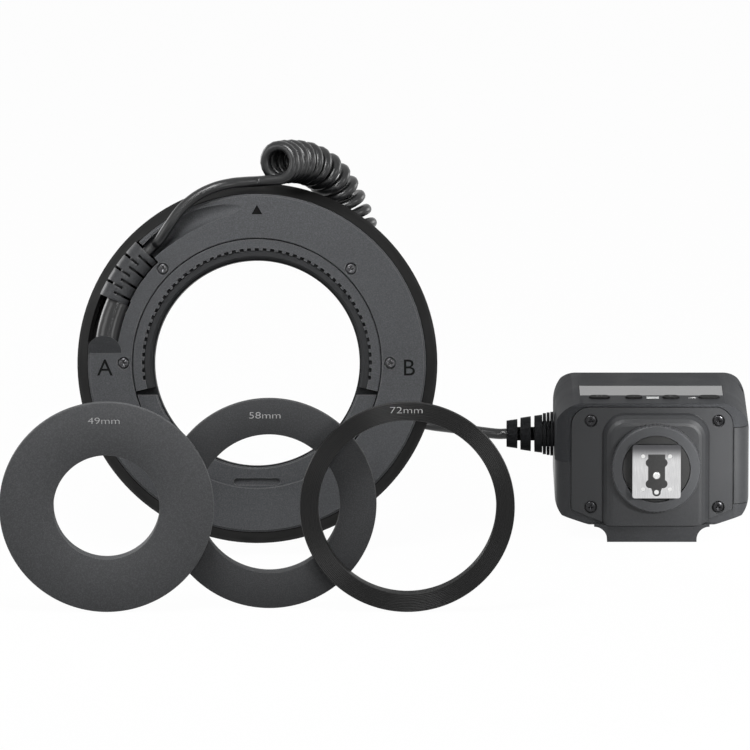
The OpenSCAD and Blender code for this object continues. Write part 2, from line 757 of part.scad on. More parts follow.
module shell_common() {
    difference() {
        union() {
            difference() {
                body_solid();
                body_space();
            }
            intersection() {
                body_solid();
                union() {
                    block([door_in + 1.1, 60], [door_low - 3.2, door_low - slip], lug_z);
                    block([door_in + 1.1, 60], [door_top + slip, door_top + 3.4], lug_z);
                }
            }
            for (s = base_screw_spots) translate([s[0], s[1], boss_low])
                cylinder(r = 2.8, h = near_wall + 1 - boss_low);
        }
        plate_recess();
        linear_extrude(40, center = true) rounded(44, 17, 43, 4);
        for (s = base_screw_spots) translate([s[0], s[1], boss_low + 0.4])
            cylinder(r = 1.2 + press_gap, h = 20);
        door_box(slip);
        translate([hinge[0], door_low - slip, hinge[1]]) rotate([-90, 0, 0])
            cylinder(r = swing_r, h = door_top - door_low + 2 * slip);
        hinge_slot(door_low - 2.2, 40);
        translate([-30, boot_at[0], boot_at[1]]) rotate([0, -90, 0]) cylinder(r = 5, h = 12);
    }
}

module upper_shell() {
    sight = display_w / 2 - 2.7;
    color(matte) controller_frame() difference() {
        union() {
            intersection() {
                shell_common();
                block([-60, 60], [part_y, 80], [-90, 10]);
            }
            for (x = board_posts) translate([x, board_y, button_z + 2.6]) rotate([-90, 0, 0])
                cylinder(r = 1.6, h = body_top - ctrl_wall - board_y + 0.2);
        }
        block(
            [-display_w / 2 - 0.1, display_w / 2 + 0.1], [body_top - 1.4, 80],
            [display_far - 0.1, display_near + 0.1]
        );
        block([-sight, sight], [body_top - 8, 80], [display_far + 2, display_near - 2]);
        for (i = [0:3]) translate([button_spots[i], body_top - 6, button_z]) rotate([-90, 0, 0])
            linear_extrude(10) stadium(button_widths[i] + 0.3, button_l + 0.3);
        block([-2.1, 2.9], [body_top - 6, 80], [button_z - 1.6, button_z + 1.6]);
    }
}

// Spine outline: a foot with hollow fillets up to the body
module spine_outline() {
    fillet = body_low - 1;
    translate([-spine_w / 2, 0]) square([spine_w, body_low + 2]);
    for (s = [-1, 1]) difference() {
        translate([s * spine_w / 2 - (s < 0 ? fillet : 0), 1]) square([fillet, fillet + 1]);
        translate([s * (spine_w / 2 + fillet), 1]) circle(fillet);
    }
}

module lower_shell() {
    color(matte) controller_frame() {
        difference() {
            union() {
                intersection() {
                    shell_common();
                    block([-60, 60], [0, part_y], [-90, 10]);
                }
                difference() {
                    translate([0, 0, spine_far]) linear_extrude(spine_near - spine_far) spine_outline();
                    body_space();
                    plate_recess();
                }
                intersection() {
                    union() {
                        for (x = cell_x)
                            block([x - 1, x + 1], [body_low, cell_y[0] - cell_r - 1.2], board_z);
                        block([-4, 1.6], [body_low, 10], board_z);
                        for (z = [cap_at[2] + 7, cap_at[2] + cap_l - 8])
                            block([cap_at[0] - 9, cap_at[0] + 9], [body_low, 14], [z - 1.5, z + 1.5]);
                    }
                    body_solid();
                }
            }
            translate([cap_at[0], cap_at[1], cap_at[2] - 2]) cylinder(r = cap_r, h = cap_l + 6);
        }
    }
}

// An arched pedestal with soft shoulders, which runs down to the plate's lower edge
module pedestal() {
    intersection() {
        hull() for (step = pedestal_steps) translate([shoe[0], 0, step[1] - 0.2]) linear_extrude(0.2)
            rounded(
                pedestal_w - 2 * step[0], -pedestal_r, pedestal_top - step[0], pedestal_r - step[0], $fn = 48
            );
        linear_extrude(pedestal_z) tapered(plate_w, plate_low, plate_top, plate_r, plate_cut);
    }
}

module base_plate() {
    color(graphite) controller_frame() difference() {
        union() {
            translate([0, 0, plate_seat]) linear_extrude(plate_face - plate_seat)
                tapered(plate_w, plate_low, plate_top, plate_r, plate_cut);
            pedestal();
            translate([shoe[0], shoe[1], 0]) cylinder(r = hub_r, h = hub_z);
        }
        for (s = base_screw_spots) {
            translate([s[0], s[1], -4]) cylinder(r = 1.4, h = 8);
            translate([s[0], s[1], plate_face - 1]) cylinder(r = 2.5, h = 8);
        }
    }
}

module base_screws() {
    color(steel) controller_frame() for (s = base_screw_spots) translate([s[0], s[1], 0]) difference() {
        union() {
            translate([0, 0, plate_face - 1]) cylinder(r = 2.2, h = 0.9);
            translate([0, 0, boss_low + 0.5]) cylinder(r = 1.2, h = -boss_low - 0.5);
        }
        cross_recess(plate_face - 0.1, 2.8);
    }
}

module shoe_frame() {
    controller_frame() translate([shoe[0], shoe[1], 0]) children();
}

module lock_wheel() {
    color(rubber) shoe_frame() difference() {
        translate([0, 0, wheel_z]) spun() polygon([
            [hub_r + 0.3, 0], [wheel_r - 0.6, 0], [wheel_r, 0.6], [wheel_r, wheel_h - 0.6],
            [wheel_r - 0.6, wheel_h], [collar_disc_r + 0.3, wheel_h],
            [collar_disc_r + 0.3, hub_z - wheel_z - 0.2], [hub_r + 0.3, hub_z - wheel_z - 0.2]
        ]);
        for (lobe = [0:90:270], k = [-4:4]) rotate([0, 0, lobe + k * 5])
            translate([wheel_r + 0.25, 0, wheel_z - 1]) cylinder(r = 0.55, h = wheel_h + 2, $fn = 24);
    }
}

// Opening in the shoe plate that the insulator fills
module keyhole(gap) {
    translate([-3.25 - gap, -5.6 - gap]) square([6.5 + 2 * gap, 12.4 + 2 * gap]);
    for (s = [-1, 1], y = [-4.8, 3.5]) translate([s * 2.5, y]) circle(1.7 + gap);
    polygon([[-2.6 - gap, -5], [2.6 + gap, -5], [1.5 + gap, pin[1]], [-1.5 - gap, pin[1]]]);
    translate(pin) circle(1.6 + gap);
}

module shoe_plate() {
    color(nickel) shoe_frame() difference() {
        translate([0, 0, shoe_z]) linear_extrude(shoe_t) rounded(shoe_w, -shoe_l / 2, shoe_l / 2, 1);
        translate([0, 0, shoe_z - 1]) linear_extrude(shoe_t + 2) keyhole(press_gap);
        for (s = rivet_spots) translate([s[0], s[1], shoe_z - 1])
            cylinder(r = rivet_r + press_gap, h = shoe_t + 2);
    }
}

module shoe_insulator() {
    color("#17181a") shoe_frame() difference() {
        union() {
            translate([0, 0, hub_z]) cylinder(r = collar_disc_r, h = collar_disc_h);
            translate([0, 0, hub_z]) linear_extrude(shoe_z - hub_z)
                rounded(neck_w, -neck_l / 2 - 0.4, neck_l / 2 - 0.4, 1);
            translate([0, 0, shoe_z - eps]) linear_extrude(shoe_t + eps) keyhole(0);
        }
        translate([contact[0], contact[1], hub_z - 1]) cylinder(r = contact_r + 0.05, h = 10);
        translate([pin[0], pin[1], hub_z - 1]) cylinder(r = pin_r + 0.05, h = 10);
        for (s = rivet_spots) translate([s[0], s[1], shoe_z - 2]) cylinder(r = rivet_r + press_gap, h = 4);
    }
}

module shoe_rivets() {
    color(steel) shoe_frame() for (s = rivet_spots)
        translate([s[0], s[1], shoe_z - 1.8]) cylinder(r = rivet_r, h = shoe_t + 1.6);
}

module centre_contact() {
    top = shoe_z + shoe_t;
    color(nickel) shoe_frame() translate([contact[0], contact[1], contact_low]) spun() polygon([
        [0, 0], [contact_r, 0], [contact_r, top - contact_low], [contact_r - 0.4, top - contact_low + 0.4],
        [0, top - contact_low + 0.4]
    ]);
}

module lock_pin() {
    color(steel) shoe_frame() translate([pin[0], pin[1], hub_z + 0.6])
        cylinder(r = pin_r, h = shoe_z + shoe_t - hub_z - 0.7);
}

module display_window() {
    edge = display_w / 2;
    color("#30343a") controller_frame()
        block([-edge, edge], [body_top - 1.4, body_top - 0.1], [display_far, display_near]);
}

module display_module() {
    edge = display_w / 2 - 2.1;
    back = body_top - ctrl_wall;
    color("#9fb0a4") controller_frame()
        block([-edge, edge], [back - 2.8, back], [display_far + 1.2, display_near - 1.2]);
}

module button(i) {
    wall_in = body_top - ctrl_wall;
    color(rubber) controller_frame() translate([button_spots[i], 0, button_z]) {
        translate([0, wall_in - 2.6, 0]) rotate([-90, 0, 0])
            linear_extrude(ctrl_wall + 2.6 + button_up) stadium(button_widths[i], button_l);
        translate([0, wall_in - 1.3, 0]) rotate([-90, 0, 0])
            linear_extrude(1.2) stadium(button_widths[i] + 1.6, button_l + 1.6);
    }
}
module button_mode() { button(0); }
module button_minus() { button(1); }
module button_plus() { button(2); }
module button_lamp() { button(3); }

module ready_lamp() {
    wall_in = body_top - ctrl_wall;
    color("#b9bdbb") controller_frame() {
        block([-2, 2.8], [wall_in - 0.8, body_top + 0.15], [button_z - 1.5, button_z + 1.5]);
        block([-2.6, 3.4], [wall_in - 1.2, wall_in], [button_z - 2.2, button_z + 2.2]);
    }
}

// Board with one low switch under every button
module switch_board() {
    gap = press + 0.1;
    top = body_top - ctrl_wall - 2.6 - gap;
    color(board_green) controller_frame() {
        block([-30, 30], [board_y - 1.4, board_y], [button_z - 4.2, button_z + 4.2]);
        for (x = button_spots) translate([x, board_y - eps, button_z]) rotate([-90, 0, 0])
            cylinder(r = 1.8, h = top - board_y + eps);
    }
}

module battery_door() {
    color(matte) controller_frame() difference() {
        union() {
            difference() {
                intersection() {
                    body_solid();
                    door_box(0);
                }
                body_space();
            }
            translate([hinge[0], door_low + slip, hinge[1]]) rotate([-90, 0, 0])
                cylinder(r = knuckle_r, h = door_top - door_low - 2 * slip);
        }
        translate([hinge[0], door_low - 1, hinge[1]]) rotate([-90, 0, 0])
            cylinder(r = hinge_r + 0.03, h = door_top - door_low + 2);
    }
}

module door_hinge_pin() {
    color(steel) controller_frame() translate([hinge[0], door_low - 2.1, hinge[1]]) rotate([-90, 0, 0])
        cylinder(r = hinge_r, h = door_top - door_low + 4);
}

// Tray open to the door, with a wall at both ends of the cells
module battery_tray() {
    low = cell_y[0] - cell_r - 0.2;
    top = cell_y[1] + cell_r + 0.2;
    left = cell_x[0] - cell_r - 0.2;
    right = cell_x[1] + cell_r - 2.4;
    far = cell_far - 3;
    near = cell_far + cell_l + 3;
    color("#26272a") controller_frame() {
        block([left - 1, right], [low - 1, low], [far - 1, near + 1]);
        block([left - 1, right], [top, top + 1], [far - 1, near + 1]);
        block([left - 1, left], [low - eps, top + eps], [far - 1, near + 1]);
        block([left - eps, right], [low - eps, top + eps], [far - 1, far]);
        block([left - eps, right], [low - eps, top + eps], [near, near + 1]);
    }
}

// AA cells, every other one turned round
module battery_cells() {
    color("#7d8f9c") controller_frame() for (i = [0, 1], j = [0, 1]) {
        flip = (i + j) % 2;
        translate([cell_x[i], cell_y[j], cell_far + (flip == 1 ? cell_l + 1 : 0)]) mirror([0, 0, flip]) {
            cylinder(r = cell_r, h = cell_l);
            cylinder(r = 2.7, h = cell_l + 1);
        }
    }
}

// Sprung contact at the flat end of each cell and a pad at its button end
module battery_contacts() {
    far = cell_far - 3;
    near = cell_far + cell_l + 3;
    color(nickel) controller_frame() for (i = [0, 1], j = [0, 1]) {
        flip = (i + j) % 2;
        translate([cell_x[i], cell_y[j], 0]) {
            translate([0, 0, flip == 0 ? far : near]) mirror([0, 0, flip])
                cylinder(r1 = 5.5, r2 = 2.5, h = flip == 0 ? cell_far - far : near - cell_far - cell_l - 1);
            translate([0, 0, flip == 0 ? near : far]) mirror([0, 0, 1 - flip])
                cylinder(r = 4, h = flip == 0 ? near - cell_far - cell_l - 1 : cell_far - far);
        }
    }
}

module main_board() {
    color(board_green) controller_frame() block([-2, -0.4], [10, 44], board_z);
}

module flash_capacitor() {
    color("#2b3a5c") controller_frame() translate(cap_at) {
        cylinder(r = cap_r, h = cap_l);
        translate([0, 0, cap_l - eps]) cylinder(r = cap_r - 1.5, h = 0.8);
    }
}

module transformer() {
    mid = 28 - ctrl_depth;
    color("#b8a24a") controller_frame() {
        block([-14, -2], [33.6, 44], [mid - 7, mid + 7]);
        block([-15.5, -13.9], [35.4, 42.2], [mid - 5.4, mid + 5.4]);
    }
}

// Strain relief on the controller: three wide rubber ribs and three thin ones on a core, which ends in a
// neck through the wall with a flange behind it. Each rib has its start, its end and its two radii.
module controller_strain_relief() {
    core = cord_d / 2 + 0.6;
    ribs = [
        [0, 4.2, 5.1, 5.7], [5.4, 9.4, 6.2, 6.8], [10.8, 13.8, 7, 7.4],
        [14.1, 15.3, 8, 8], [15.6, 16.7, 8.3, 8.3], [17, 18.1, 8.5, 8.5]
    ];
    color(rubber) controller_frame() translate([boot_tip, boot_at[0], boot_at[1]]) rotate([0, 90, 0]) {
        cylinder(r = core, h = 16);
        for (rib = ribs) translate([0, 0, rib[0]]) cylinder(r1 = rib[2], r2 = rib[3], h = rib[1] - rib[0]);
        translate([0, 0, 13]) cylinder(r = 4.9, h = 9);
        translate([0, 0, 20.7]) cylinder(r = 6.2, h = 1.3);
    }
}

front_housing();
inner_barrel();
back_cover();
cover_screws();
adapter_rail();
locking_jaw();
jaw_springs();
front_bezel();
diffuser_a();
diffuser_b();
reflector_a();
reflector_b();
flash_tube_a();
flash_tube_b();
tube_electrodes();
tube_holders();
focus_lamps();
trigger_board();
trigger_coil();
cable_sleeve();
head_strain_relief();
head_lead();
curly_cord();
controller_lead();
adapter_ring_49();
adapter_ring_58();
adapter_ring_72();
upper_shell();
lower_shell();
base_plate();
base_screws();
lock_wheel();
shoe_plate();
shoe_insulator();
shoe_rivets();
centre_contact();
lock_pin();
display_window();
display_module();
button_mode();
button_minus();
button_plus();
button_lamp();
ready_lamp();
switch_board();
battery_door();
door_hinge_pin();
battery_tray();
battery_cells();
battery_contacts();
main_board();
flash_capacitor();
transformer();
controller_strain_relief();
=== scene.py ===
# %% [markdown]
# # A macro ring flash, dressed for the camera
#
# A ring flash lights small things evenly: its head is a ring of light round the lens. A curly cord
# joins the head to a controller that slides into the camera's hot shoe, and three loose rings adapt
# the head to lens threads. The solid pieces come from CAD as a fixed frame, in metres. This lesson
# gives them their finishes and adds what CAD leaves out: the cord, printed marks, fine threads and ribs.

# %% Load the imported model
import math

import bmesh
import bpy
from mathutils import Matrix, Vector


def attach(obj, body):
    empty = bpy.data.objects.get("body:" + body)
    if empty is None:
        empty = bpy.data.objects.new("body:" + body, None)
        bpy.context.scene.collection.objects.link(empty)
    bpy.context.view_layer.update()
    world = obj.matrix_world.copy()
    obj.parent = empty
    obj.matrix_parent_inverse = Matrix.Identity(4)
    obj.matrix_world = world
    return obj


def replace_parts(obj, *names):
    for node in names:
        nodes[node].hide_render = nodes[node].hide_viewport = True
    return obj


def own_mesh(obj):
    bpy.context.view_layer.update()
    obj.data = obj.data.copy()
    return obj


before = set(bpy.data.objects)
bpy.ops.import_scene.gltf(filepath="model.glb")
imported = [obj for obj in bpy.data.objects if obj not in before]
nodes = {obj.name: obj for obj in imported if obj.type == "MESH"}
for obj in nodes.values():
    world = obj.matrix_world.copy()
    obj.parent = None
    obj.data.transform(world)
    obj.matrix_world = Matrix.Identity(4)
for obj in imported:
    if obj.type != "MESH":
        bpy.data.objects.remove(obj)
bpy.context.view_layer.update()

# %% [markdown]
# ## Three working frames
#
# The head leans back by 12 degrees, the controller stands upright and the rings stand on edge. Working
# in each piece's own frame, in millimetres, keeps the numbers plain: in the head's frame x runs right,
# y up in the ring's plane and z along the ring's axis to the viewer. A matrix then carries a finished
# piece into the scene, so that its object can stay at the origin.

# %% Frames
MM = 0.001
TURN = 2 * math.pi
LEAN = math.radians(12)
HEAD_R = 69.5
HEAD_DEPTH = 23
CONTROLLER_PLACE = (152.4, 12.8)
FLOOR = -(HEAD_R * math.cos(LEAN) + HEAD_DEPTH * math.sin(LEAN))
TO_METRES = Matrix.Scale(MM, 4)
UPRIGHT = Matrix.Rotation(math.pi / 2, 4, "X")
HEAD = TO_METRES @ Matrix.Rotation(math.pi / 2 - LEAN, 4, "X")
HEAD_AXIS = (HEAD.to_3x3() @ Vector((0, 0, 1))).normalized()
CONTROLLER = TO_METRES @ Matrix.Translation((*CONTROLLER_PLACE, FLOOR)) @ UPRIGHT
RING_R = 40.5
RING_PLACES = {"49": (-55.8, -110.6), "58": (5.5, -104.1), "72": (57.6, -110.6)}


def ring_frame(size):
    """The frame of a loose ring, with the middle of its face at the origin."""
    x, y = RING_PLACES[size]
    return TO_METRES @ Matrix.Translation((x, y, FLOOR + RING_R)) @ UPRIGHT


STANDING = "head_and_controller"
print("floor at", round(FLOOR, 3), "mm")

# %% [markdown]
# ## The camera
#
# The photograph looks straight at the leaning ring from far away, so that circles stay round and all
# the rings have nearly the same size. A long lens five metres off gives that view. The lens follows
# from the width of the view, 288.5 mm at the ring.

# %% Camera
CAMERA_FAR = 5.0
VIEW_WIDTH = 0.2885
SENSOR = 36
VIEW_MIDDLE = Vector((45.4, -4.6, 0))
aim = HEAD @ VIEW_MIDDLE
camera_lens = bpy.data.cameras.new("photo_camera")
camera_lens.sensor_width = SENSOR
camera_lens.lens = SENSOR * CAMERA_FAR / VIEW_WIDTH
camera_lens.clip_end = 50
camera = bpy.data.objects.new("photo_camera", camera_lens)
camera.location = aim + HEAD_AXIS * CAMERA_FAR
camera.rotation_euler = (math.pi / 2 - LEAN, 0, 0)
bpy.context.scene.collection.objects.link(camera)
bpy.context.scene.camera = camera
print("lens", round(camera_lens.lens), "mm")

# %% [markdown]
# ## The curly cord
#
# The cord leaves the slotted boot on the head, runs over the cover to the top, winds into close curls
# that arch back and down behind the ring, and ends in the controller's ribbed boot. It could be a
# straight curl bent by a Curve modifier, but the curls would crowd together inside the bend. Here the
# axis is a smooth run through chosen points, a normal is carried along it without twist, and the pitch
# grows where the axis bends, so that neighbouring curls keep the same gap on the inside of the bend.

# %% Smooth runs through points
CORD_D = 4.1
CURL_R = 6.45
CURL_GAP = 0.5
CURL_STEPS = 20
LEAD_STEPS = 12
AXIS_STEPS = 10
END_TURN = 0.125
SMALL_TURN = 0.02
BOOT_REACH = 60.2
BOOT_ANGLE = math.radians(135)
BOOT_HEIGHT = 2.5
BOOT_HIDES = 3
BOOT_END = Vector((BOOT_REACH * math.cos(BOOT_ANGLE), BOOT_REACH * math.sin(BOOT_ANGLE), BOOT_HEIGHT))
BOOT_OUT = Vector((1, 1, 0)).normalized()
LEAD_RUN = [
    (-37.4, 47.4, 4.6), (-33.6, 53, 6.6), (-29, 59.2, 6.8), (-23, 64.2, 6.8), (-16.4, 67.4, 6.6),
    (-10, 69, 5.2), (-4.6, 69.6, 2.6),
]
COIL_RUN = [
    (8, 76.9, 2.8), (10.8, 77.5, -4.3), (14.9, 77.7, -11.8), (20.1, 76.7, -19.4), (25.8, 73.5, -26.5),
    (31, 67.4, -32.7), (35.4, 58.9, -36.8), (39.5, 48.6, -38.2), (43.4, 37.2, -37.8), (47.2, 24.5, -36.8),
    (50.6, 11, -35.6), (53, -2, -34.6), (54.2, -13, -34), (54.4, -22.5, -33.8),
]
TAIL_RUN = [(68.5, -24.2, -28.4), (75.5, -25.1, -33.2), (83, -26.2, -38.2)]
BOOT_MOUTH = HEAD.inverted() @ CONTROLLER @ Vector((-56, 37.4, -22))


def smooth_run(points, steps):
    """A smooth run through points, with a mirrored ghost point past each end."""
    p = [Vector(v) for v in points]
    p = [2 * p[0] - p[1], *p, 2 * p[-1] - p[-2]]
    run = []
    for a, b, c, d in zip(p, p[1:], p[2:], p[3:]):
        for k in range(steps):
            u = k / steps
            bend = u * u * (2 * a - 5 * b + 4 * c - d) + u ** 3 * (3 * b - a - 3 * c + d)
            run.append(0.5 * (2 * b + u * (c - a) + bend))
    return [*run, p[-2]]


def between(xs, values, x):
    """The value at x in a table of rising xs, read along straight lines."""
    i = max(0, min(len(xs) - 2, sum(1 for known in xs if known <= x) - 1))
    share = (x - xs[i]) / (xs[i + 1] - xs[i])
    return values[i] + (values[i + 1] - values[i]) * min(1, max(0, share))


# %% Curls along the axis
axis = smooth_run(COIL_RUN, AXIS_STEPS)
last = len(axis) - 1
tangents = [(axis[min(i + 1, last)] - axis[max(i - 1, 0)]).normalized() for i in range(last + 1)]
normals = []
carried = Vector((0, -1, 0))
for t in tangents:
    carried = (carried - carried.dot(t) * t).normalized()
    normals.append(carried)
lengths = [0.0]
for a, b in zip(axis, axis[1:]):
    lengths.append(lengths[-1] + (b - a).length)


def pitch_at(i, reach=6):
    """The pitch at a point of the axis, from the bend over a few points each way."""
    a, b = max(i - reach, 0), min(i + reach, last)
    curvature = tangents[a].angle(tangents[b]) / (lengths[b] - lengths[a])
    return (CORD_D + CURL_GAP) / (1 - CURL_R * curvature)


turns = [0.0]
for i in range(1, last + 1):
    turns.append(turns[-1] + 2 * (lengths[i] - lengths[i - 1]) / (pitch_at(i) + pitch_at(i - 1)))
curls = math.floor(turns[-1] - END_TURN) + END_TURN
turns = [n * curls / turns[-1] for n in turns]


def curl_point(turn):
    """The middle of the cord after a number of turns."""
    s = between(turns, lengths, turn)
    t = between(lengths, tangents, s).normalized()
    n = between(lengths, normals, s)
    n = (n - n.dot(t) * t).normalized()
    angle = TURN * turn
    return between(lengths, axis, s) + CURL_R * (math.cos(angle) * n + math.sin(angle) * n.cross(t))


coil = [curl_point(k / CURL_STEPS) for k in range(int(curls * CURL_STEPS) + 1)] + [curl_point(curls)]
coil_in = (curl_point(SMALL_TURN) - curl_point(0)).normalized() * CORD_D
coil_out = (curl_point(curls) - curl_point(curls - SMALL_TURN)).normalized() * CORD_D
print("curls:", curls, "points:", len(coil))

# %% [markdown]
# The bevel's depth is 1, and each point's radius is the cord's own. The round section comes out the same as
# with a small depth and radius 1, but a curve's box is measured with the points' radius, so it stays true.

# %% One curve from boot to boot
lead = smooth_run(
    [BOOT_END - BOOT_HIDES * BOOT_OUT, BOOT_END, BOOT_END + CORD_D * BOOT_OUT, *LEAD_RUN,
     coil[0] - 2 * coil_in, coil[0] - coil_in], LEAD_STEPS)
tail = smooth_run(
    [coil[-1] + coil_out, coil[-1] + 2 * coil_out, *TAIL_RUN, BOOT_MOUTH - Vector((CORD_D, 0, 0)),
     BOOT_MOUTH, BOOT_MOUTH + Vector((BOOT_HIDES, 0, 0))], LEAD_STEPS)
cord_points = [HEAD @ p for p in [*lead, *coil, *tail]]
cord_curve = bpy.data.curves.new("curly_cord_rubber", "CURVE")
cord_curve.dimensions = "3D"
cord_curve.bevel_depth = 1
cord_curve.bevel_resolution = 6
cord_curve.use_fill_caps = True
spline = cord_curve.splines.new("POLY")
spline.points.add(len(cord_points) - 1)
for point, place in zip(spline.points, cord_points):
    point.co = (*place, 1)
    point.radius = CORD_D / 2 * MM
cord = bpy.data.objects.new("curly_cord_rubber", cord_curve)
bpy.context.scene.collection.objects.link(cord)
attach(cord, STANDING)
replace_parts(cord, "head_lead", "curly_cord", "controller_lead")

# %% [markdown]
# ## Floor, world and lamps
#
# The photograph is a cut-out on white. A pale floor under the pieces catches a soft shadow, and for rays
# that come from the camera, or from gloss and glass, floor and world show plain white. A key lamp hangs
# close above the ring, so that the light falls off downwards. A small one near the camera draws the
# highlights on the cord, weaker ones fill the sides and the back, and a spot picks out the controller.
# Three helpers for shader nodes come first. Two of them serve the finishes again.

# %% Node helpers
def math_node(tree, operation, a, b):
    """A Math node on two sockets or numbers."""
    node = tree.nodes.new("ShaderNodeMath")
    node.operation = operation
    for socket, value in zip(node.inputs, (a, b)):
        if isinstance(value, (int, float)):
            socket.default_value = value
        else:
            tree.links.new(value, socket)
    return node.outputs[0]


def value_range(tree, share, low, high):
    """A value that goes from low to high as share goes from 0 to 1."""
    node = tree.nodes.new("ShaderNodeMapRange")
    node.inputs["To Min"].default_value = low
    node.inputs["To Max"].default_value = high
    tree.links.new(share, node.inputs["Value"])
    return node.outputs[0]


def seen_rays(tree):
    """A socket that is 1 for rays from the camera, from gloss and through glass, and 0 for others."""
    rays = tree.nodes.new("ShaderNodeLightPath")
    seen = rays.outputs["Is Camera Ray"]
    for name in ("Is Glossy Ray", "Is Transmission Ray"):
        seen = math_node(tree, "MAXIMUM", seen, rays.outputs[name])
    return seen


# %% Floor
FLOOR_RADIUS = 8
FLOOR_GAP = 0.0001
PAPER_GREY = 0.3
GLOW_STRENGTH = 1.04
FLOOR_GLOW = 0.94
floor_bm = bmesh.new()
bmesh.ops.create_circle(floor_bm, cap_ends=True, radius=FLOOR_RADIUS, segments=64)
floor_mesh = bpy.data.meshes.new("floor")
floor_bm.to_mesh(floor_mesh)
floor_bm.free()
floor_mesh.transform(Matrix.Translation((0, 0, FLOOR * MM - FLOOR_GAP)))
floor = bpy.data.objects.new("floor", floor_mesh)
bpy.context.scene.collection.objects.link(floor)
paper = bpy.data.materials.new("white_paper")
paper.use_nodes = True
tree = paper.node_tree
tree.nodes.clear()
pale = tree.nodes.new("ShaderNodeBsdfDiffuse")
pale.inputs["Color"].default_value = (PAPER_GREY, PAPER_GREY, PAPER_GREY, 1)
glow = tree.nodes.new("ShaderNodeEmission")
glow.inputs["Strength"].default_value = GLOW_STRENGTH
mix = tree.nodes.new("ShaderNodeMixShader")
tree.links.new(math_node(tree, "MULTIPLY", seen_rays(tree), FLOOR_GLOW), mix.inputs[0])
tree.links.new(pale.outputs[0], mix.inputs[1])
tree.links.new(glow.outputs[0], mix.inputs[2])
tree.links.new(mix.outputs[0], tree.nodes.new("ShaderNodeOutputMaterial").inputs["Surface"])
floor_mesh.materials.append(paper)
print("floor radius", FLOOR_RADIUS, "m")

# %% World
WORLD_LIGHT = 0.12
world = bpy.data.worlds.new("studio")
world.use_nodes = True
bpy.context.scene.world = world
tree = world.node_tree
sky = tree.nodes["Background"]
tree.links.new(value_range(tree, seen_rays(tree), WORLD_LIGHT, 1), sky.inputs["Strength"])
sky.inputs["Color"].default_value = (1, 1, 1, 1)
bpy.context.scene.view_settings.view_transform = "Standard"
print("world light", WORLD_LIGHT)

# %% Lamps
LAMPS = {
    "key_lamp": ((-0.05, -0.22, 0.34), 0.14, 1.5),
    "front_lamp": ((0.04, -0.9, 0.36), 0.08, 0.8),
    "side_lamp": ((0.27, -0.42, 0.03), 0.1, 0.3),
    "right_lamp": ((0.4, -0.16, 0.2), 0.12, 0.3),
    "left_lamp": ((-0.6, -0.3, 0.2), 0.3, 0.9),
    "back_left_lamp": ((-0.6, 0.5, 0.16), 0.35, 1.8),
    "back_right_lamp": ((0.75, 0.42, 0.16), 0.35, 1.8),
}
SPOT_PLACE = (0.42, -0.5, 0.14)
SPOT_TARGET = CONTROLLER @ Vector((46, 28, -10))
SPOT_WATTS = 48
SPOT_ANGLE = math.radians(12)
SPOT_RADIUS = 0.03


def hang_lamp(lamp, place, target):
    """Hang a lamp at place so that it shines at target."""
    lamp_object = bpy.data.objects.new(lamp.name, lamp)
    lamp_object.location = place
    lamp_object.rotation_euler = (target - Vector(place)).to_track_quat("-Z", "Y").to_euler()
    bpy.context.scene.collection.objects.link(lamp_object)


for name, (place, size, watts) in LAMPS.items():
    lamp = bpy.data.lights.new(name, "AREA")
    lamp.size = size
    lamp.energy = watts
    hang_lamp(lamp, place, aim)

# A narrow spot from the right picks out the controller's right half.
spot = bpy.data.lights.new("controller_spot", "SPOT")
spot.energy = SPOT_WATTS
spot.spot_size = SPOT_ANGLE
spot.spot_blend = 1
spot.shadow_soft_size = SPOT_RADIUS
hang_lamp(spot, SPOT_PLACE, SPOT_TARGET)
print("lamps:", ", ".join(LAMPS), "and a spot")

# %% [markdown]
# ## Shared effects as node groups
#
# Most pieces are moulded plastic or blasted metal, and all of them share three things: a fine grain
# from the mould or the blasting, a faint cloudiness where hands have polished the surface, and edges
# in a colour of their own. Mostly the edges are a little paler because they are rubbed first, but the
# pale edges of the cover and the track are a painted highlight, and the dark edges of the controller are
# painted shade in its seams. Each is built once as a node group with named sockets. They read Object
# coordinates, which are the scene's own metres here, so the grain has the same real size on every piece.

# %% Group: fine grain
def new_group(name, inputs, outputs):
    """An empty shader group with value inputs {name: default} and the given value outputs."""
    group = bpy.data.node_groups.new(name, "ShaderNodeTree")
    for socket, value in inputs.items():
        made = group.interface.new_socket(socket, in_out="INPUT", socket_type="NodeSocketFloat")
        made.default_value = value
    for socket in outputs:
        group.interface.new_socket(socket, in_out="OUTPUT", socket_type="NodeSocketFloat")
    return group, group.nodes.new("NodeGroupInput"), group.nodes.new("NodeGroupOutput")


grain_group, gi, go = new_group("fine_grain", {"Grains per mm": 4.0}, ["Height", "Flecks"])
coords = grain_group.nodes.new("ShaderNodeTexCoord")
noise = grain_group.nodes.new("ShaderNodeTexNoise")
noise.inputs["Detail"].default_value = 2
noise.inputs["Roughness"].default_value = 0.6
grain_scale = math_node(grain_group, "MULTIPLY", gi.outputs["Grains per mm"], 1000)
grain_group.links.new(coords.outputs["Object"], noise.inputs["Vector"])
grain_group.links.new(grain_scale, noise.inputs["Scale"])
grain_group.links.new(noise.outputs["Fac"], go.inputs["Height"])
flecks = grain_group.nodes.new("ShaderNodeMapRange")
flecks.inputs["From Min"].default_value = 0.42
flecks.inputs["From Max"].default_value = 0.68
grain_group.links.new(noise.outputs["Fac"], flecks.inputs["Value"])
grain_group.links.new(flecks.outputs[0], go.inputs["Flecks"])
print("group fine_grain")

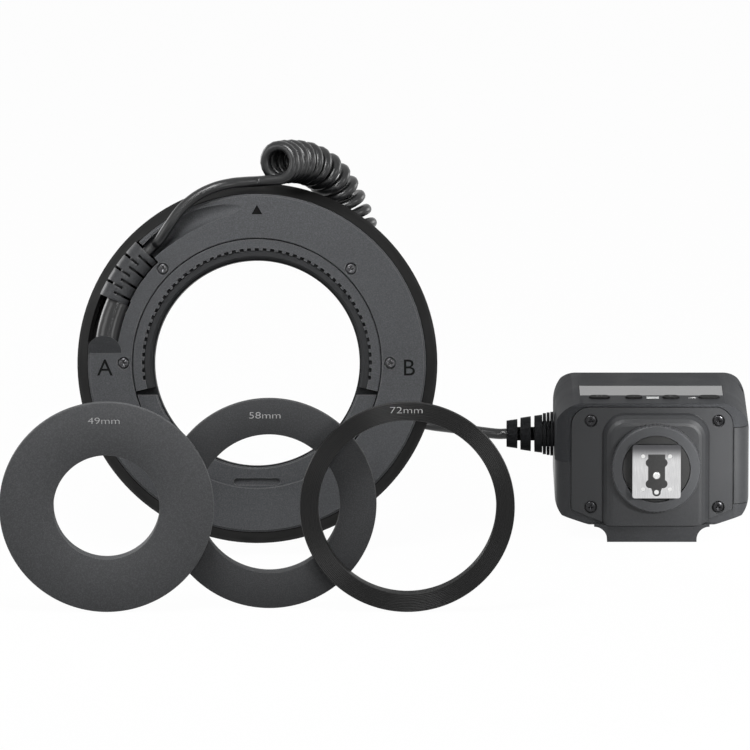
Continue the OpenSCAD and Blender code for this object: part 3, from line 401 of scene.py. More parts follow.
# %% Group: handling marks
marks_group, gi, go = new_group("handling_marks", {"Patches per cm": 0.6}, ["Cloud"])
coords = marks_group.nodes.new("ShaderNodeTexCoord")
cloud = marks_group.nodes.new("ShaderNodeTexNoise")
cloud.inputs["Detail"].default_value = 4
cloud.inputs["Distortion"].default_value = 0.6
patch_scale = math_node(marks_group, "MULTIPLY", gi.outputs["Patches per cm"], 100)
marks_group.links.new(coords.outputs["Object"], cloud.inputs["Vector"])
marks_group.links.new(patch_scale, cloud.inputs["Scale"])
spread = marks_group.nodes.new("ShaderNodeMapRange")
spread.inputs["From Min"].default_value = 0.3
spread.inputs["From Max"].default_value = 0.7
marks_group.links.new(cloud.outputs["Fac"], spread.inputs["Value"])
marks_group.links.new(spread.outputs[0], go.inputs["Cloud"])
print("group handling_marks")

# %% [markdown]
# The edge mask compares the surface's own normal with the normal of a slightly rounded copy, which the
# Bevel node gives. They differ only near an edge, and a noise breaks the line up, as real wear does. The
# mask carries rubbed wear, the painted highlight on the cover's edges and the painted shade in the
# controller's seams.

# %% Group: rubbed edges and painted edge light
edges_group, gi, go = new_group("edge_wear_and_painted_light", {"Edge width mm": 0.35}, ["Edge"])
rounded = edges_group.nodes.new("ShaderNodeBevel")
rounded.samples = 4
edge_radius = math_node(edges_group, "MULTIPLY", gi.outputs["Edge width mm"], MM)
edges_group.links.new(edge_radius, rounded.inputs["Radius"])
surface = edges_group.nodes.new("ShaderNodeNewGeometry")
likeness = edges_group.nodes.new("ShaderNodeVectorMath")
likeness.operation = "DOT_PRODUCT"
edges_group.links.new(rounded.outputs["Normal"], likeness.inputs[0])
edges_group.links.new(surface.outputs["Normal"], likeness.inputs[1])
edge = edges_group.nodes.new("ShaderNodeMapRange")
edge.inputs["From Min"].default_value = 0.99
edge.inputs["From Max"].default_value = 0.86
edges_group.links.new(likeness.outputs["Value"], edge.inputs["Value"])
coords = edges_group.nodes.new("ShaderNodeTexCoord")
breaks = edges_group.nodes.new("ShaderNodeTexNoise")
breaks.inputs["Scale"].default_value = 450
edges_group.links.new(coords.outputs["Object"], breaks.inputs["Vector"])
# On the cover this mask paints a highlight along the edges, and on the controller it paints shade in the
# seams.
patchy = math_node(edges_group, "MULTIPLY", edge.outputs[0], breaks.outputs["Fac"])
edges_group.links.new(patchy, go.inputs["Edge"])
print("group edge_wear_and_painted_light")

# %% [markdown]
# ## Finishes
#
# One helper builds a moulded or painted finish from the groups: the base colour is mixed with a paler
# fleck, the edges take a third colour, roughness moves with the cloud and the grain feeds a Bump node.
# What is the same all over a piece, such as metallic or specular level, is set on the shader itself.

# %% A helper for grained finishes
def add_group(tree, group, **inputs):
    """A group node with some inputs set. An underscore stands for a space in an input's name."""
    node = tree.nodes.new("ShaderNodeGroup")
    node.node_tree = group
    for name, value in inputs.items():
        node.inputs[name.replace("_", " ")].default_value = value
    return node


def colour_mix(tree, share, a, b):
    """A colour that goes from a to b with share. a and b are colours or sockets."""
    mix = tree.nodes.new("ShaderNodeMix")
    mix.data_type = "RGBA"
    tree.links.new(share, mix.inputs["Factor"])
    for socket, value in ((mix.inputs[6], a), (mix.inputs[7], b)):
        if isinstance(value, tuple):
            socket.default_value = (*value, 1)
        else:
            tree.links.new(value, socket)
    return mix.outputs[2]


def bumped(tree, height, distance_mm, strength):
    """A normal that is bumped by a height socket."""
    node = tree.nodes.new("ShaderNodeBump")
    node.inputs["Distance"].default_value = distance_mm * MM
    node.inputs["Strength"].default_value = strength
    tree.links.new(height, node.inputs["Height"])
    return node.outputs["Normal"]


def grained_finish(name, colour, fleck, edge, rough, grains=4.0, bump=0.02, specular=0.4):
    """A material from its base, fleck and edge colours, its range of roughness and its grain."""
    material = bpy.data.materials.new(name)
    material.use_nodes = True
    tree = material.node_tree
    shader = tree.nodes["Principled BSDF"]
    shader.inputs["Specular IOR Level"].default_value = specular
    grain = add_group(tree, grain_group, Grains_per_mm=grains)
    marks = add_group(tree, marks_group)
    # The edge colour is rubbed wear on most finishes, a painted highlight on the cover and track, and painted
    # shade on the controller.
    edge_wear_and_light = add_group(tree, edges_group)
    body = colour_mix(tree, grain.outputs["Flecks"], colour, fleck)
    body = colour_mix(tree, edge_wear_and_light.outputs["Edge"], body, edge)
    tree.links.new(body, shader.inputs["Base Color"])
    tree.links.new(value_range(tree, marks.outputs["Cloud"], *rough), shader.inputs["Roughness"])
    tree.links.new(bumped(tree, grain.outputs["Height"], bump, 0.6), shader.inputs["Normal"])
    return material


# %% Plastics, metals and rubber
def grey(level, tint=0.0):
    """A dark neutral with a slight cool tint."""
    return (level * (1 - tint), level, level * (1 + 2 * tint))


# The pale edge colour of the cover and track plastic is a painted highlight along their edges.
cover_plastic, track_plastic_painted_shade = [
    grained_finish(name, grey(0.053, 0.03), grey(0.08, 0.03), grey(0.24), (0.55, 0.68), grains=2.4, bump=0.03,
                   specular=0.18)
    for name in ("grained_cover_plastic", "track_plastic_painted_shade")]
# The barrel plastic is darker than the cover plastic: painted shade on the barrel's inner lip.
barrel_plastic_painted_shade = grained_finish(
    "barrel_plastic_painted_shade", grey(0.014, 0.03), grey(0.022, 0.03), grey(0.05), (0.5, 0.62), grains=2, bump=0.015,
    specular=0.06)
rim_plastic = grained_finish(
    "black_rim_plastic", grey(0.009), grey(0.014), grey(0.03), (0.5, 0.6), bump=0.01, specular=0.006)
# The near-black edge colour of the three controller plastics is painted shade: it draws the seams between the
# pieces as dark lines, and darkens their outer edges too.
controller_plastic = grained_finish(
    "satin_controller_plastic", grey(0.031, 0.03), grey(0.043, 0.03), grey(0.006), (0.46, 0.56), grains=3,
    bump=0.008, specular=0.015)
lower_plastic = grained_finish(
    "glossy_controller_plastic", grey(0.024, 0.03), grey(0.034, 0.03), grey(0.006), (0.3, 0.4), grains=3,
    bump=0.006, specular=0.2)
plate_plastic = grained_finish(
    "base_plate_plastic", grey(0.02, 0.03), grey(0.029, 0.03), grey(0.005), (0.36, 0.44), grains=3,
    bump=0.006, specular=0.3)
blasted_metal = grained_finish(
    "blasted_black_metal", grey(0.068, 0.02), grey(0.096, 0.02), grey(0.2), (0.55, 0.66), grains=2.4,
    bump=0.03, specular=0.16)
dark_metal = grained_finish(
    "blasted_dark_metal", grey(0.046, 0.02), grey(0.067, 0.02), grey(0.16), (0.55, 0.66), grains=2.4,
    bump=0.03, specular=0.14)
cord_rubber = grained_finish(
    "cord_rubber", grey(0.008, 0.03), grey(0.011, 0.03), grey(0.012), (0.27, 0.33), grains=2, bump=0.001,
    specular=0.42)
boot_rubber = grained_finish(
    "boot_rubber", grey(0.034, 0.03), grey(0.048, 0.03), grey(0.07), (0.34, 0.44), grains=2, bump=0.012,
    specular=0.2)
ribbed_rubber = grained_finish(
    "ribbed_rubber", grey(0.014, 0.03), grey(0.02, 0.03), grey(0.03), (0.4, 0.5), grains=2, bump=0.012,
    specular=0.008)
key_rubber = grained_finish(
    "key_rubber", grey(0.01), grey(0.014), grey(0.03), (0.5, 0.62), grains=3, specular=0.02)
wheel_plastic = grained_finish(
    "lock_wheel_plastic", grey(0.036, 0.03), grey(0.05, 0.03), grey(0.12), (0.4, 0.5), grains=3, bump=0.012,
    specular=0.25)
insulator_plastic = grained_finish(
    "insulator_plastic", grey(0.022), grey(0.03), grey(0.05), (0.5, 0.62), grains=3, specular=0.2)
print("materials:", len(bpy.data.materials))

# %% [markdown]
# The shoe plate is bright nickel on brass, rubbed lengthwise by the camera's shoe. Fine streaks come from
# a noise that is stretched along the slide's direction. Screws, springs and sheet metal are made alike.

# %% Streaked metals
def streaked_metal(name, colour, dark, rough, stretch, specular=0.5):
    """Bare metal with streaks. A larger stretch along an axis makes them finer along it."""
    material = bpy.data.materials.new(name)
    material.use_nodes = True
    tree = material.node_tree
    shader = tree.nodes["Principled BSDF"]
    shader.inputs["Metallic"].default_value = 1
    shader.inputs["Specular IOR Level"].default_value = specular
    coords = tree.nodes.new("ShaderNodeTexCoord")
    squeeze = tree.nodes.new("ShaderNodeMapping")
    squeeze.inputs["Scale"].default_value = stretch
    streaks = tree.nodes.new("ShaderNodeTexNoise")
    streaks.inputs["Scale"].default_value = 1000
    streaks.inputs["Detail"].default_value = 3
    tree.links.new(coords.outputs["Object"], squeeze.inputs["Vector"])
    tree.links.new(squeeze.outputs["Vector"], streaks.inputs["Vector"])
    marks = add_group(tree, marks_group, Patches_per_cm=1.5)
    tree.links.new(colour_mix(tree, streaks.outputs["Fac"], dark, colour), shader.inputs["Base Color"])
    wear = math_node(tree, "MULTIPLY", streaks.outputs["Fac"], marks.outputs["Cloud"])
    tree.links.new(value_range(tree, wear, *rough), shader.inputs["Roughness"])
    tree.links.new(bumped(tree, streaks.outputs["Fac"], 0.004, 0.5), shader.inputs["Normal"])
    return material


RUBBED = (4, 4, 0.25)
EVEN = (1.5, 1.5, 1.5)
bright_nickel = streaked_metal("bright_nickel", (0.86, 0.86, 0.85), grey(0.62), (0.2, 0.36), RUBBED)
plate_nickel = streaked_metal("shoe_plate_nickel", grey(0.74), (0.48, 0.48, 0.49), (0.18, 0.34), RUBBED)
cover_zinc = streaked_metal("grey_zinc_screws", (0.075, 0.075, 0.078), (0.05, 0.05, 0.052), (0.26, 0.4), EVEN)
screw_metal = streaked_metal(
    "black_zinc_screws", (0.045, 0.045, 0.047), (0.02, 0.02, 0.021), (0.24, 0.36), EVEN, specular=0.1)
spring_steel = streaked_metal("spring_steel", grey(0.6), (0.35, 0.35, 0.36), (0.25, 0.4), (1, 1, 1))
mirror_sheet = streaked_metal("reflector_sheet", grey(0.9), grey(0.8), (0.08, 0.16), (2, 2, 2))
wound_copper = streaked_metal("wound_copper", (0.72, 0.36, 0.16), (0.45, 0.18, 0.06), (0.3, 0.45), (1, 1, 5))
print("materials:", len(bpy.data.materials))

# %% [markdown]
# Two pieces change colour along an axis, and both changes are painted shade. The shoe plate is darker
# towards its upper edge, and the step inside the track's teeth is darker than the raised part. The place
# along an axis is the dot product of the Object coordinates and the axis.

# %% Painted shade along an axis
PLATE_TOP = (FLOOR + 40.7) * MM
PAINTED_SHADE_FROM = 6.8 * MM
PAINTED_SHADE_FULL = 0.8 * MM
# Heights on the head's axis between which the track's painted shade fades out.
STEP_TOP = 2.9 * MM
TRACK_TOP = 3.4 * MM


def shade_along(material, low, high, below, above, axis=(0, 0, 1)):
    """Fade a colour from below to above, between two places on axis. None is the material's own colour."""
    tree = material.node_tree
    base = tree.nodes["Principled BSDF"].inputs["Base Color"]
    own = base.links[0].from_socket
    coords = tree.nodes.new("ShaderNodeTexCoord")
    along = tree.nodes.new("ShaderNodeVectorMath")
    along.operation = "DOT_PRODUCT"
    along.inputs[1].default_value = axis
    tree.links.new(coords.outputs["Object"], along.inputs[0])
    share = tree.nodes.new("ShaderNodeMapRange")
    share.interpolation_type = "SMOOTHSTEP"
    share.inputs["From Min"].default_value = low
    share.inputs["From Max"].default_value = high
    tree.links.new(along.outputs["Value"], share.inputs["Value"])
    tree.links.new(colour_mix(tree, share.outputs[0], below or own, above or own), base)


# Painted shade: the shoe plate is darker towards its upper edge.
shade_along(plate_nickel, PLATE_TOP - PAINTED_SHADE_FROM, PLATE_TOP - PAINTED_SHADE_FULL, None, (0.09, 0.09, 0.095))
# Painted shade: the step inside the track's teeth is darker.
shade_along(track_plastic_painted_shade, STEP_TOP, TRACK_TOP, grey(0.02, 0.03), None, HEAD_AXIS)
print("plate's upper edge at", round(PLATE_TOP, 4), "m")

# %% [markdown]
# The 72 mm ring is turned on a lathe, so its marks run round the axis: a noise of the distance from the axis
# alone gives circles. The finest marks can't be seen one by one, but they spread highlights across
# themselves. Anisotropic does that, with a tangent that points away from the axis.

# %% Turned ring
RING_HEIGHT = (FLOOR + RING_R) * MM
MARKS_PER_M = 5200
MARKS_DEPTH_MM = 0.03


def turned_metal(name, centre, colour, pale, rough):
    """Black metal turned on a lathe about an axis through centre, along Y."""
    material = grained_finish(name, colour, pale, grey(0.12), rough, grains=3, bump=0.008, specular=0.2)
    tree = material.node_tree
    shader = tree.nodes["Principled BSDF"]
    coords = tree.nodes.new("ShaderNodeTexCoord")
    outwards = tree.nodes.new("ShaderNodeMapping")
    outwards.inputs["Location"].default_value = (-centre[0], 0, -centre[1])
    outwards.inputs["Scale"].default_value = (1, 0, 1)
    reach = tree.nodes.new("ShaderNodeVectorMath")
    reach.operation = "LENGTH"
    rings = tree.nodes.new("ShaderNodeTexNoise")
    rings.noise_dimensions = "1D"
    rings.inputs["Scale"].default_value = MARKS_PER_M
    rings.inputs["Detail"].default_value = 2
    tree.links.new(coords.outputs["Object"], outwards.inputs["Vector"])
    tree.links.new(outwards.outputs["Vector"], reach.inputs[0])
    tree.links.new(reach.outputs["Value"], rings.inputs["W"])
    shader.inputs["Anisotropic"].default_value = 0.85
    tree.links.new(outwards.outputs["Vector"], shader.inputs["Tangent"])
    lines = value_range(tree, rings.outputs["Fac"], -0.2, 1.2)
    tree.links.new(colour_mix(tree, lines, colour, pale), shader.inputs["Base Color"])
    tree.links.new(bumped(tree, rings.outputs["Fac"], MARKS_DEPTH_MM, 0.8), shader.inputs["Normal"])
    return material


turned_black = turned_metal(
    "turned_black_metal", (RING_PLACES["72"][0] * MM, RING_HEIGHT), grey(0.003), grey(0.018), (0.34, 0.42))
print("turned ring at height", round(RING_HEIGHT, 4), "m")

# %% [markdown]
# ## Clear, milky and printed finishes
#
# The front windows are milky acrylic: a rough surface with a little light passing through. The display
# is smoked and glossy, so that at a low angle it mirrors the bright room, as in the photograph. Prints
# are dull ink with tiny pinholes.

# %% Acrylic, display and ink
def ink_finish(name, colour, patchy):
    """Dull ink with pinholes."""
    return grained_finish(name, colour, patchy, colour, (0.55, 0.7), grains=6, bump=0.002, specular=0.02)


white_ink = ink_finish("white_ink", grey(0.72), grey(0.5))
ring_ink = ink_finish("ring_ink", grey(0.5), grey(0.36))
black_ink = ink_finish("black_ink", grey(0.006), grey(0.01))
grey_ink = ink_finish("grey_ink", grey(0.11), grey(0.08))
milky_acrylic = grained_finish(
    "milky_acrylic", (0.72, 0.74, 0.75), (0.8, 0.81, 0.82), (0.85, 0.86, 0.87), (0.3, 0.42), grains=2,
    bump=0.01, specular=0.5)
milky_acrylic.node_tree.nodes["Principled BSDF"].inputs["Transmission Weight"].default_value = 0.25
lamp_key_plastic = grained_finish(
    "pale_key_plastic", (0.36, 0.37, 0.37), (0.42, 0.43, 0.43), grey(0.5), (0.3, 0.4), bump=0.004)
smoked_window = grained_finish(
    "smoked_window", grey(0.02, 0.04), grey(0.024, 0.04), grey(0.06), (0.1, 0.18), grains=1, bump=0.001,
    specular=0.6)
display_glass = grained_finish(
    "display_glass", (0.3, 0.38, 0.32), (0.33, 0.41, 0.35), (0.3, 0.38, 0.32), (0.3, 0.4))
board_resin = grained_finish(
    "board_resin", (0.02, 0.12, 0.05), (0.03, 0.17, 0.07), (0.1, 0.2, 0.1), (0.4, 0.5))
ceramic = grained_finish(
    "ceramic_holder", (0.66, 0.63, 0.56), (0.75, 0.72, 0.65), (0.8, 0.78, 0.7), (0.5, 0.65))
cell_wrap = grained_finish(
    "cell_wrap", (0.14, 0.2, 0.26), (0.18, 0.25, 0.32), (0.4, 0.42, 0.45), (0.25, 0.35))
capacitor_wrap = grained_finish(
    "capacitor_wrap", (0.02, 0.035, 0.09), (0.03, 0.05, 0.12), (0.2, 0.22, 0.3), (0.3, 0.4))

clear_glass = bpy.data.materials.new("flash_tube_glass")
clear_glass.use_nodes = True
tree = clear_glass.node_tree
shader = tree.nodes["Principled BSDF"]
shader.inputs["Base Color"].default_value = (0.93, 0.96, 0.97, 1)
shader.inputs["Transmission Weight"].default_value = 0.9
marks = add_group(tree, marks_group, Patches_per_cm=2)
tree.links.new(value_range(tree, marks.outputs["Cloud"], 0.02, 0.08), shader.inputs["Roughness"])
print("materials:", len(bpy.data.materials))

# %% [markdown]
# ## Finishes onto the CAD pieces
#
# A CAD piece comes as loose triangles with hard edges. Real mouldings have small radii that catch the
# light. A Weld modifier joins the triangles, a Bevel rounds only the sharp edges, and Weighted Normal
# keeps the flat faces flat. The mesh itself stays as it is.

# %% Finish every CAD piece
FINISHES = {
    cover_plastic: ["back_cover", "locking_jaw"],
    track_plastic_painted_shade: ["adapter_rail"],
    barrel_plastic_painted_shade: ["inner_barrel"],
    rim_plastic: ["front_housing", "front_bezel", "battery_tray"],
    controller_plastic: ["upper_shell"],
    lower_plastic: ["lower_shell"],
    plate_plastic: ["base_plate", "battery_door"],
    blasted_metal: ["adapter_ring_49"],
    dark_metal: ["adapter_ring_58"],
    turned_black: ["adapter_ring_72"],
    cord_rubber: ["cable_sleeve", "head_lead", "curly_cord", "controller_lead"],
    boot_rubber: ["head_strain_relief"],
    ribbed_rubber: ["controller_strain_relief"],
    key_rubber: ["button_mode", "button_minus", "button_plus", "button_lamp"],
    wheel_plastic: ["lock_wheel"],
    insulator_plastic: ["shoe_insulator"],
    plate_nickel: ["shoe_plate"],
    bright_nickel: ["shoe_rivets", "centre_contact", "lock_pin", "battery_contacts"],
    cover_zinc: ["cover_screws"],
    screw_metal: ["base_screws"],
    spring_steel: ["jaw_springs", "door_hinge_pin", "tube_electrodes"],
    mirror_sheet: ["reflector_a", "reflector_b"],
    milky_acrylic: ["diffuser_a", "diffuser_b"],
    clear_glass: ["flash_tube_a", "flash_tube_b", "focus_lamps"],
    ceramic: ["tube_holders"],
    board_resin: ["trigger_board", "switch_board", "main_board"],
    wound_copper: ["trigger_coil", "transformer"],
    smoked_window: ["display_window"],
    display_glass: ["display_module"],
    lamp_key_plastic: ["ready_lamp"],
    cell_wrap: ["battery_cells"],
    capacitor_wrap: ["flash_capacitor"],
}
EDGE_RADII = {
    "upper_shell": 0.35, "lower_shell": 0.35, "battery_door": 0.3, "base_plate": 0.35, "front_housing": 0.3,
    "back_cover": 0.2, "locking_jaw": 0.2, "shoe_plate": 0.25, "shoe_insulator": 0.12, "cover_screws": 0.08,
    "base_screws": 0.08, "jaw_springs": 0, "shoe_rivets": 0.15, "lock_wheel": 0.12, "adapter_rail": 0.12,
}
OTHER_RADIUS = 0.1
WELD_GAP = 0.000004
SHARP = math.radians(35)


def soften(piece, radius_mm):
    """Rounded edges and even shading on a piece, as live modifiers."""
    weld = piece.modifiers.new("join_triangles", "WELD")
    weld.merge_threshold = WELD_GAP
    if radius_mm:
        bevel = piece.modifiers.new("edge_radius", "BEVEL")
        bevel.width = radius_mm * MM
        bevel.segments = 2
        bevel.limit_method = "ANGLE"
        bevel.angle_limit = SHARP
        bevel.use_clamp_overlap = True
    shading = piece.modifiers.new("even_shading", "WEIGHTED_NORMAL")
    shading.keep_sharp = True


for material, names in FINISHES.items():
    for name in names:
        mesh = nodes[name].data
        mesh.materials.clear()
        mesh.materials.append(material)
        soften(nodes[name], EDGE_RADII.get(name, OTHER_RADIUS))
cord_curve.materials.append(cord_rubber)
print("finished CAD pieces:", sum(len(names) for names in FINISHES.values()), "of", len(nodes))

# %% [markdown]
# ## Making detail pieces
#
# The small pieces below are modelled with mesh operators in the frame of what carries them. One helper
# carries a finished mesh into the scene: it joins doubles, points the normals outwards, applies the
# frame, and makes the piece ride on its body.

# %% A helper for finished pieces
made_pieces = []
DOUBLES = 1e-5
SMOOTH_BELOW = math.radians(40)


def place_piece(bm, name, frame_matrix, body, material):
    """A finished piece from a mesh in millimetres, riding on its body."""
    bmesh.ops.remove_doubles(bm, verts=bm.verts, dist=DOUBLES)
    bmesh.ops.recalc_face_normals(bm, faces=bm.faces)
    bmesh.ops.transform(bm, matrix=frame_matrix, verts=bm.verts)
    for face in bm.faces:
        face.smooth = True
    for edge in bm.edges:
        edge.smooth = len(edge.link_faces) == 2 and edge.calc_face_angle(0) < SMOOTH_BELOW
    mesh = bpy.data.meshes.new(name)
    bm.to_mesh(mesh)
    bm.free()
    mesh.materials.append(material)
    piece = bpy.data.objects.new(name, mesh)
    bpy.context.scene.collection.objects.link(piece)
    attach(piece, body)
    made_pieces.append(piece)
    return piece


# %% [markdown]
# ## Printed marks
#
# The cover carries a small triangle at the top and the letters A and B beside the two halves of the
# tube, and each ring carries its thread size. Text starts as a font curve, becomes a mesh and is given
# a hair of thickness, as a real print has.

# %% Print words
INK = 0.03


def print_words(name, words, size_mm, frame_matrix, place, body, material, stretch=1.0, thin=0.0):
    """Flat words at a place in a frame. Stretch widens them, and thin takes off each stroke's sides."""
    font = bpy.data.curves.new(name, "FONT")
    font.body = words
    font.size = size_mm
    font.align_x = "CENTER"
    font.align_y = "CENTER"
    font.extrude = INK / 2
    font.offset = -thin
    font.resolution_u = 4
    flat = bpy.data.objects.new(name + "_flat", font)
    bpy.context.scene.collection.objects.link(flat)
    bpy.context.view_layer.update()
    mesh = bpy.data.meshes.new_from_object(flat.evaluated_get(bpy.context.evaluated_depsgraph_get()))
    bpy.data.objects.remove(flat)
    bm = bmesh.new()
    bm.from_mesh(mesh)
    spot = Matrix.Translation(place) @ Matrix.Diagonal((stretch, 1, 1, 1))
    return place_piece(bm, name, frame_matrix @ spot, body, material)


COVER_FACE = 4.0
LETTER_SIZE = 9.0
LETTER_REACH = 58.4
LETTER_Y = -2.1
RING_LETTERS = 3.6
RING_THIN = 0.05
RING_WORDS = {"49": (-0.8, 33.3, 1.36), "58": (-1.6, 34.0, 1.36), "72": (-0.4, 37.4, 1.41)}
for name, letter, side in (("mark_a", "A", -1), ("mark_b", "B", 1)):
    place = (side * LETTER_REACH, LETTER_Y, COVER_FACE + INK / 2)
    print_words(name, letter, LETTER_SIZE, HEAD, place, STANDING, black_ink)
for size, (x, y, stretch) in RING_WORDS.items():
    print_words("thread_size_" + size, size + "mm", RING_LETTERS, ring_frame(size), (x, y, INK / 2),
                "ring_" + size, ring_ink, stretch=stretch, thin=RING_THIN)
print("prints:", [p.name for p in made_pieces])

# %% Triangle at the top of the cover
TRIANGLE_R = 2.4
bm = bmesh.new()
bmesh.ops.create_circle(bm, cap_ends=True, radius=TRIANGLE_R, segments=3)
bmesh.ops.solidify(bm, geom=bm.faces[:], thickness=INK)
place = Matrix.Translation((0, LETTER_REACH, COVER_FACE + INK))
place_piece(bm, "top_mark", HEAD @ place, STANDING, black_ink)
print("mark:", made_pieces[-1].name)

# %% [markdown]
# ## Adapter rings with their threads
#
# An adapter ring is turned from one piece of aluminium: a flat plate whose grooved rim clicks into the
# head, and a collar whose outside thread screws into a lens. CAD keeps the collar plain. Here the ring's
# section is drawn once, with a thread of 0.75 mm pitch and softly rounded edges, and Spin turns it round
# the axis. Closed rings stand for the thread's helix, whose slope is too small to see. The face of the
# 72 mm ring has shallow turned grooves as well.

# %% Spin a section
def spin_section(bm, section, steps, start=0.0, sweep=TURN, closed=True):
    """Turn (radius, height) points about the Z axis. Part of a turn is capped at both ends."""
    points = [bm.verts.new((r * math.cos(start), r * math.sin(start), z)) for r, z in section]
    ends = points[1:] + points[:1] if closed else points[1:]
    lines = [bm.edges.new(pair) for pair in zip(points, ends)]
    full = sweep == TURN
    bmesh.ops.spin(bm, geom=points + lines, cent=(0, 0, 0), axis=(0, 0, 1), angle=sweep, steps=steps,
                   use_merge=full)
    if not full:
        bmesh.ops.holes_fill(bm, edges=[e for e in bm.edges if e.is_boundary], sides=0)


# %% Ring sections
PLATE_T = 2.4
COLLAR_END = -5.9
COLLAR_CHAMFER = 0.15
ROUND = 0.4
ROUND_MIDDLE = 0.12
CLICK_DEPTH = 0.8
CLICK_MOUTH = 0.4
CLICK_FLOOR = 0.2
PITCH = 0.75
THREAD_START = -2.75
THREAD_DEPTH = 0.45
THREAD_RIDGES = 4
RIDGE_FROM = 0.31
RIDGE_TO = 0.42
GROOVE_PITCH = 0.62
RING_GROOVES = {"49": 0.0, "58": 0.0, "72": 0.14}
RING_HOLES = {"49": 20.0, "58": 26.7, "72": 33.5}


def grooved_face(inner, outer, groove):
    """The points of a ring's face between two radii, with V grooves of a depth, or none."""
    grooves = round((outer - inner) / GROOVE_PITCH) if groove else 0
    step = (outer - inner) / max(grooves, 1)
    valleys = [(inner + (k + 0.5) * step, -groove) for k in range(grooves)]
    lands = [(inner + k * step, 0) for k in range(1, grooves)]
    return [(inner, 0), *sorted(valleys + lands), (outer, 0)]


def ring_section(size):
    """A ring's section as (radius, height) points: face, grooved rim, back and threaded collar."""
    hole, crest = RING_HOLES[size], float(size) / 2
    root, floor_r, middle = crest - THREAD_DEPTH, RING_R - CLICK_DEPTH, -PLATE_T / 2
    section = [
        (hole, -ROUND), (hole + ROUND_MIDDLE, -ROUND_MIDDLE),
        *grooved_face(hole + ROUND, RING_R - ROUND, RING_GROOVES[size]),
        (RING_R - ROUND_MIDDLE, -ROUND_MIDDLE), (RING_R, -ROUND),
        (RING_R, middle + CLICK_MOUTH), (floor_r, middle + CLICK_FLOOR),
        (floor_r, middle - CLICK_FLOOR), (RING_R, middle - CLICK_MOUTH),
        (RING_R, ROUND - PLATE_T), (RING_R - ROUND_MIDDLE, ROUND_MIDDLE - PLATE_T),
        (RING_R - ROUND, -PLATE_T), (root, -PLATE_T), (root, THREAD_START),
    ]
    for k in range(THREAD_RIDGES):
        z = THREAD_START - k * PITCH
        section += [(crest, z - RIDGE_FROM), (crest, z - RIDGE_TO), (root, z - PITCH)]
    return [*section, (root - COLLAR_CHAMFER, COLLAR_END), (hole, COLLAR_END)]


RING_FINISHES = {"49": blasted_metal, "58": dark_metal, "72": turned_black}
for size, material in RING_FINISHES.items():
    bm = bmesh.new()
    spin_section(bm, ring_section(size), steps=160)
    ring = place_piece(bm, "threaded_ring_" + size, ring_frame(size), "ring_" + size, material)
    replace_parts(ring, "adapter_ring_" + size)
    print(ring.name, len(ring.data.polygons), "faces")

# %% [markdown]
# ## Screw heads
#
# Screw heads are small, but the eye finds them at once. Each is a shallow dome with a cross recess that
# narrows as it goes down. A circle and the outline of a cross are filled with triangles, which leaves the
# cross open. Its edges are extruded down for the recess, the circle's edges outwards for the dome.

# %% Cross-head screws
FLAT_SHARE = 0.75
# Share of the distance from the centre, and drop, of each ring of edges
RECESS = (0.3, 0.75)
DOME_EDGE = (1.25, 0.14)
FOOT_EDGE = (1.065, 0.2)
SKIRT = (1, 0.5)


def edge_ring(bm, edges, centre, share, drop):
    """Extrude edges, move the new ones to a share of their distance from centre, and lower them."""
    new = bmesh.ops.extrude_edge_only(bm, edges=edges)["geom"]
    verts = [g for g in new if isinstance(g, bmesh.types.BMVert)]
    about = Matrix.Translation((-centre[0], -centre[1], 0))
    bmesh.ops.scale(bm, vec=(share, share, 1), space=about, verts=verts)
    bmesh.ops.translate(bm, vec=(0, 0, -drop), verts=verts)
    return [g for g in new if isinstance(g, bmesh.types.BMEdge) and g.is_boundary]


def screw_head(bm, centre, top, radius, arm, half):
    """A domed head whose cross has arms of length arm and half-width half."""
    corners = ((arm, -half), (arm, half), (half, half))
    outline = [Matrix.Rotation(q * math.pi / 2, 2) @ Vector(c) for q in range(4) for c in corners]
    cross = [bm.verts.new((centre[0] + c.x, centre[1] + c.y, top)) for c in outline]
    cross_edges = [bm.edges.new(pair) for pair in zip(cross, cross[1:] + cross[:1])]
    at_top = Matrix.Translation((*centre, top))
    circle = bmesh.ops.create_circle(bm, segments=32, radius=FLAT_SHARE * radius, matrix=at_top)["verts"]
    circle_edges = list({e for v in circle for e in v.link_edges})
    bmesh.ops.triangle_fill(bm, edges=cross_edges + circle_edges, use_beauty=True)
    recess = edge_ring(bm, cross_edges, centre, *RECESS)
    dome = edge_ring(bm, circle_edges, centre, *DOME_EDGE)
    foot = edge_ring(bm, dome, centre, *FOOT_EDGE)
    skirt = edge_ring(bm, foot, centre, *SKIRT)
    bmesh.ops.holes_fill(bm, edges=recess + skirt, sides=0)


# Each head's top, radius, and the length and half-width of the cross's arms
COVER_HEAD = (3.98, 1.95, 1.3, 0.32)
BASE_HEAD = (0.75, 2.15, 1.45, 0.35)
COVER_SCREWS = ((51.2, 0), (51.2, 45), (51.2, 135), (51.2, 180), (57, 228), (57, 312))
BASE_SCREWS = ((-23.6, 47.4), (25.6, 47.4), (-23.6, 13.3), (25.6, 13.3))
bm = bmesh.new()
for reach, degrees in COVER_SCREWS:
    angle = math.radians(degrees)
    screw_head(bm, (reach * math.cos(angle), reach * math.sin(angle)), *COVER_HEAD)
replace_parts(place_piece(bm, "cover_screw_heads", HEAD, STANDING, cover_zinc), "cover_screws")
bm = bmesh.new()
for centre in BASE_SCREWS:
    screw_head(bm, centre, *BASE_HEAD)
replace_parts(place_piece(bm, "base_screw_heads", CONTROLLER, STANDING, screw_metal), "base_screws")
for piece in made_pieces[-2:]:
    print(piece.name, len(piece.data.polygons), "faces")
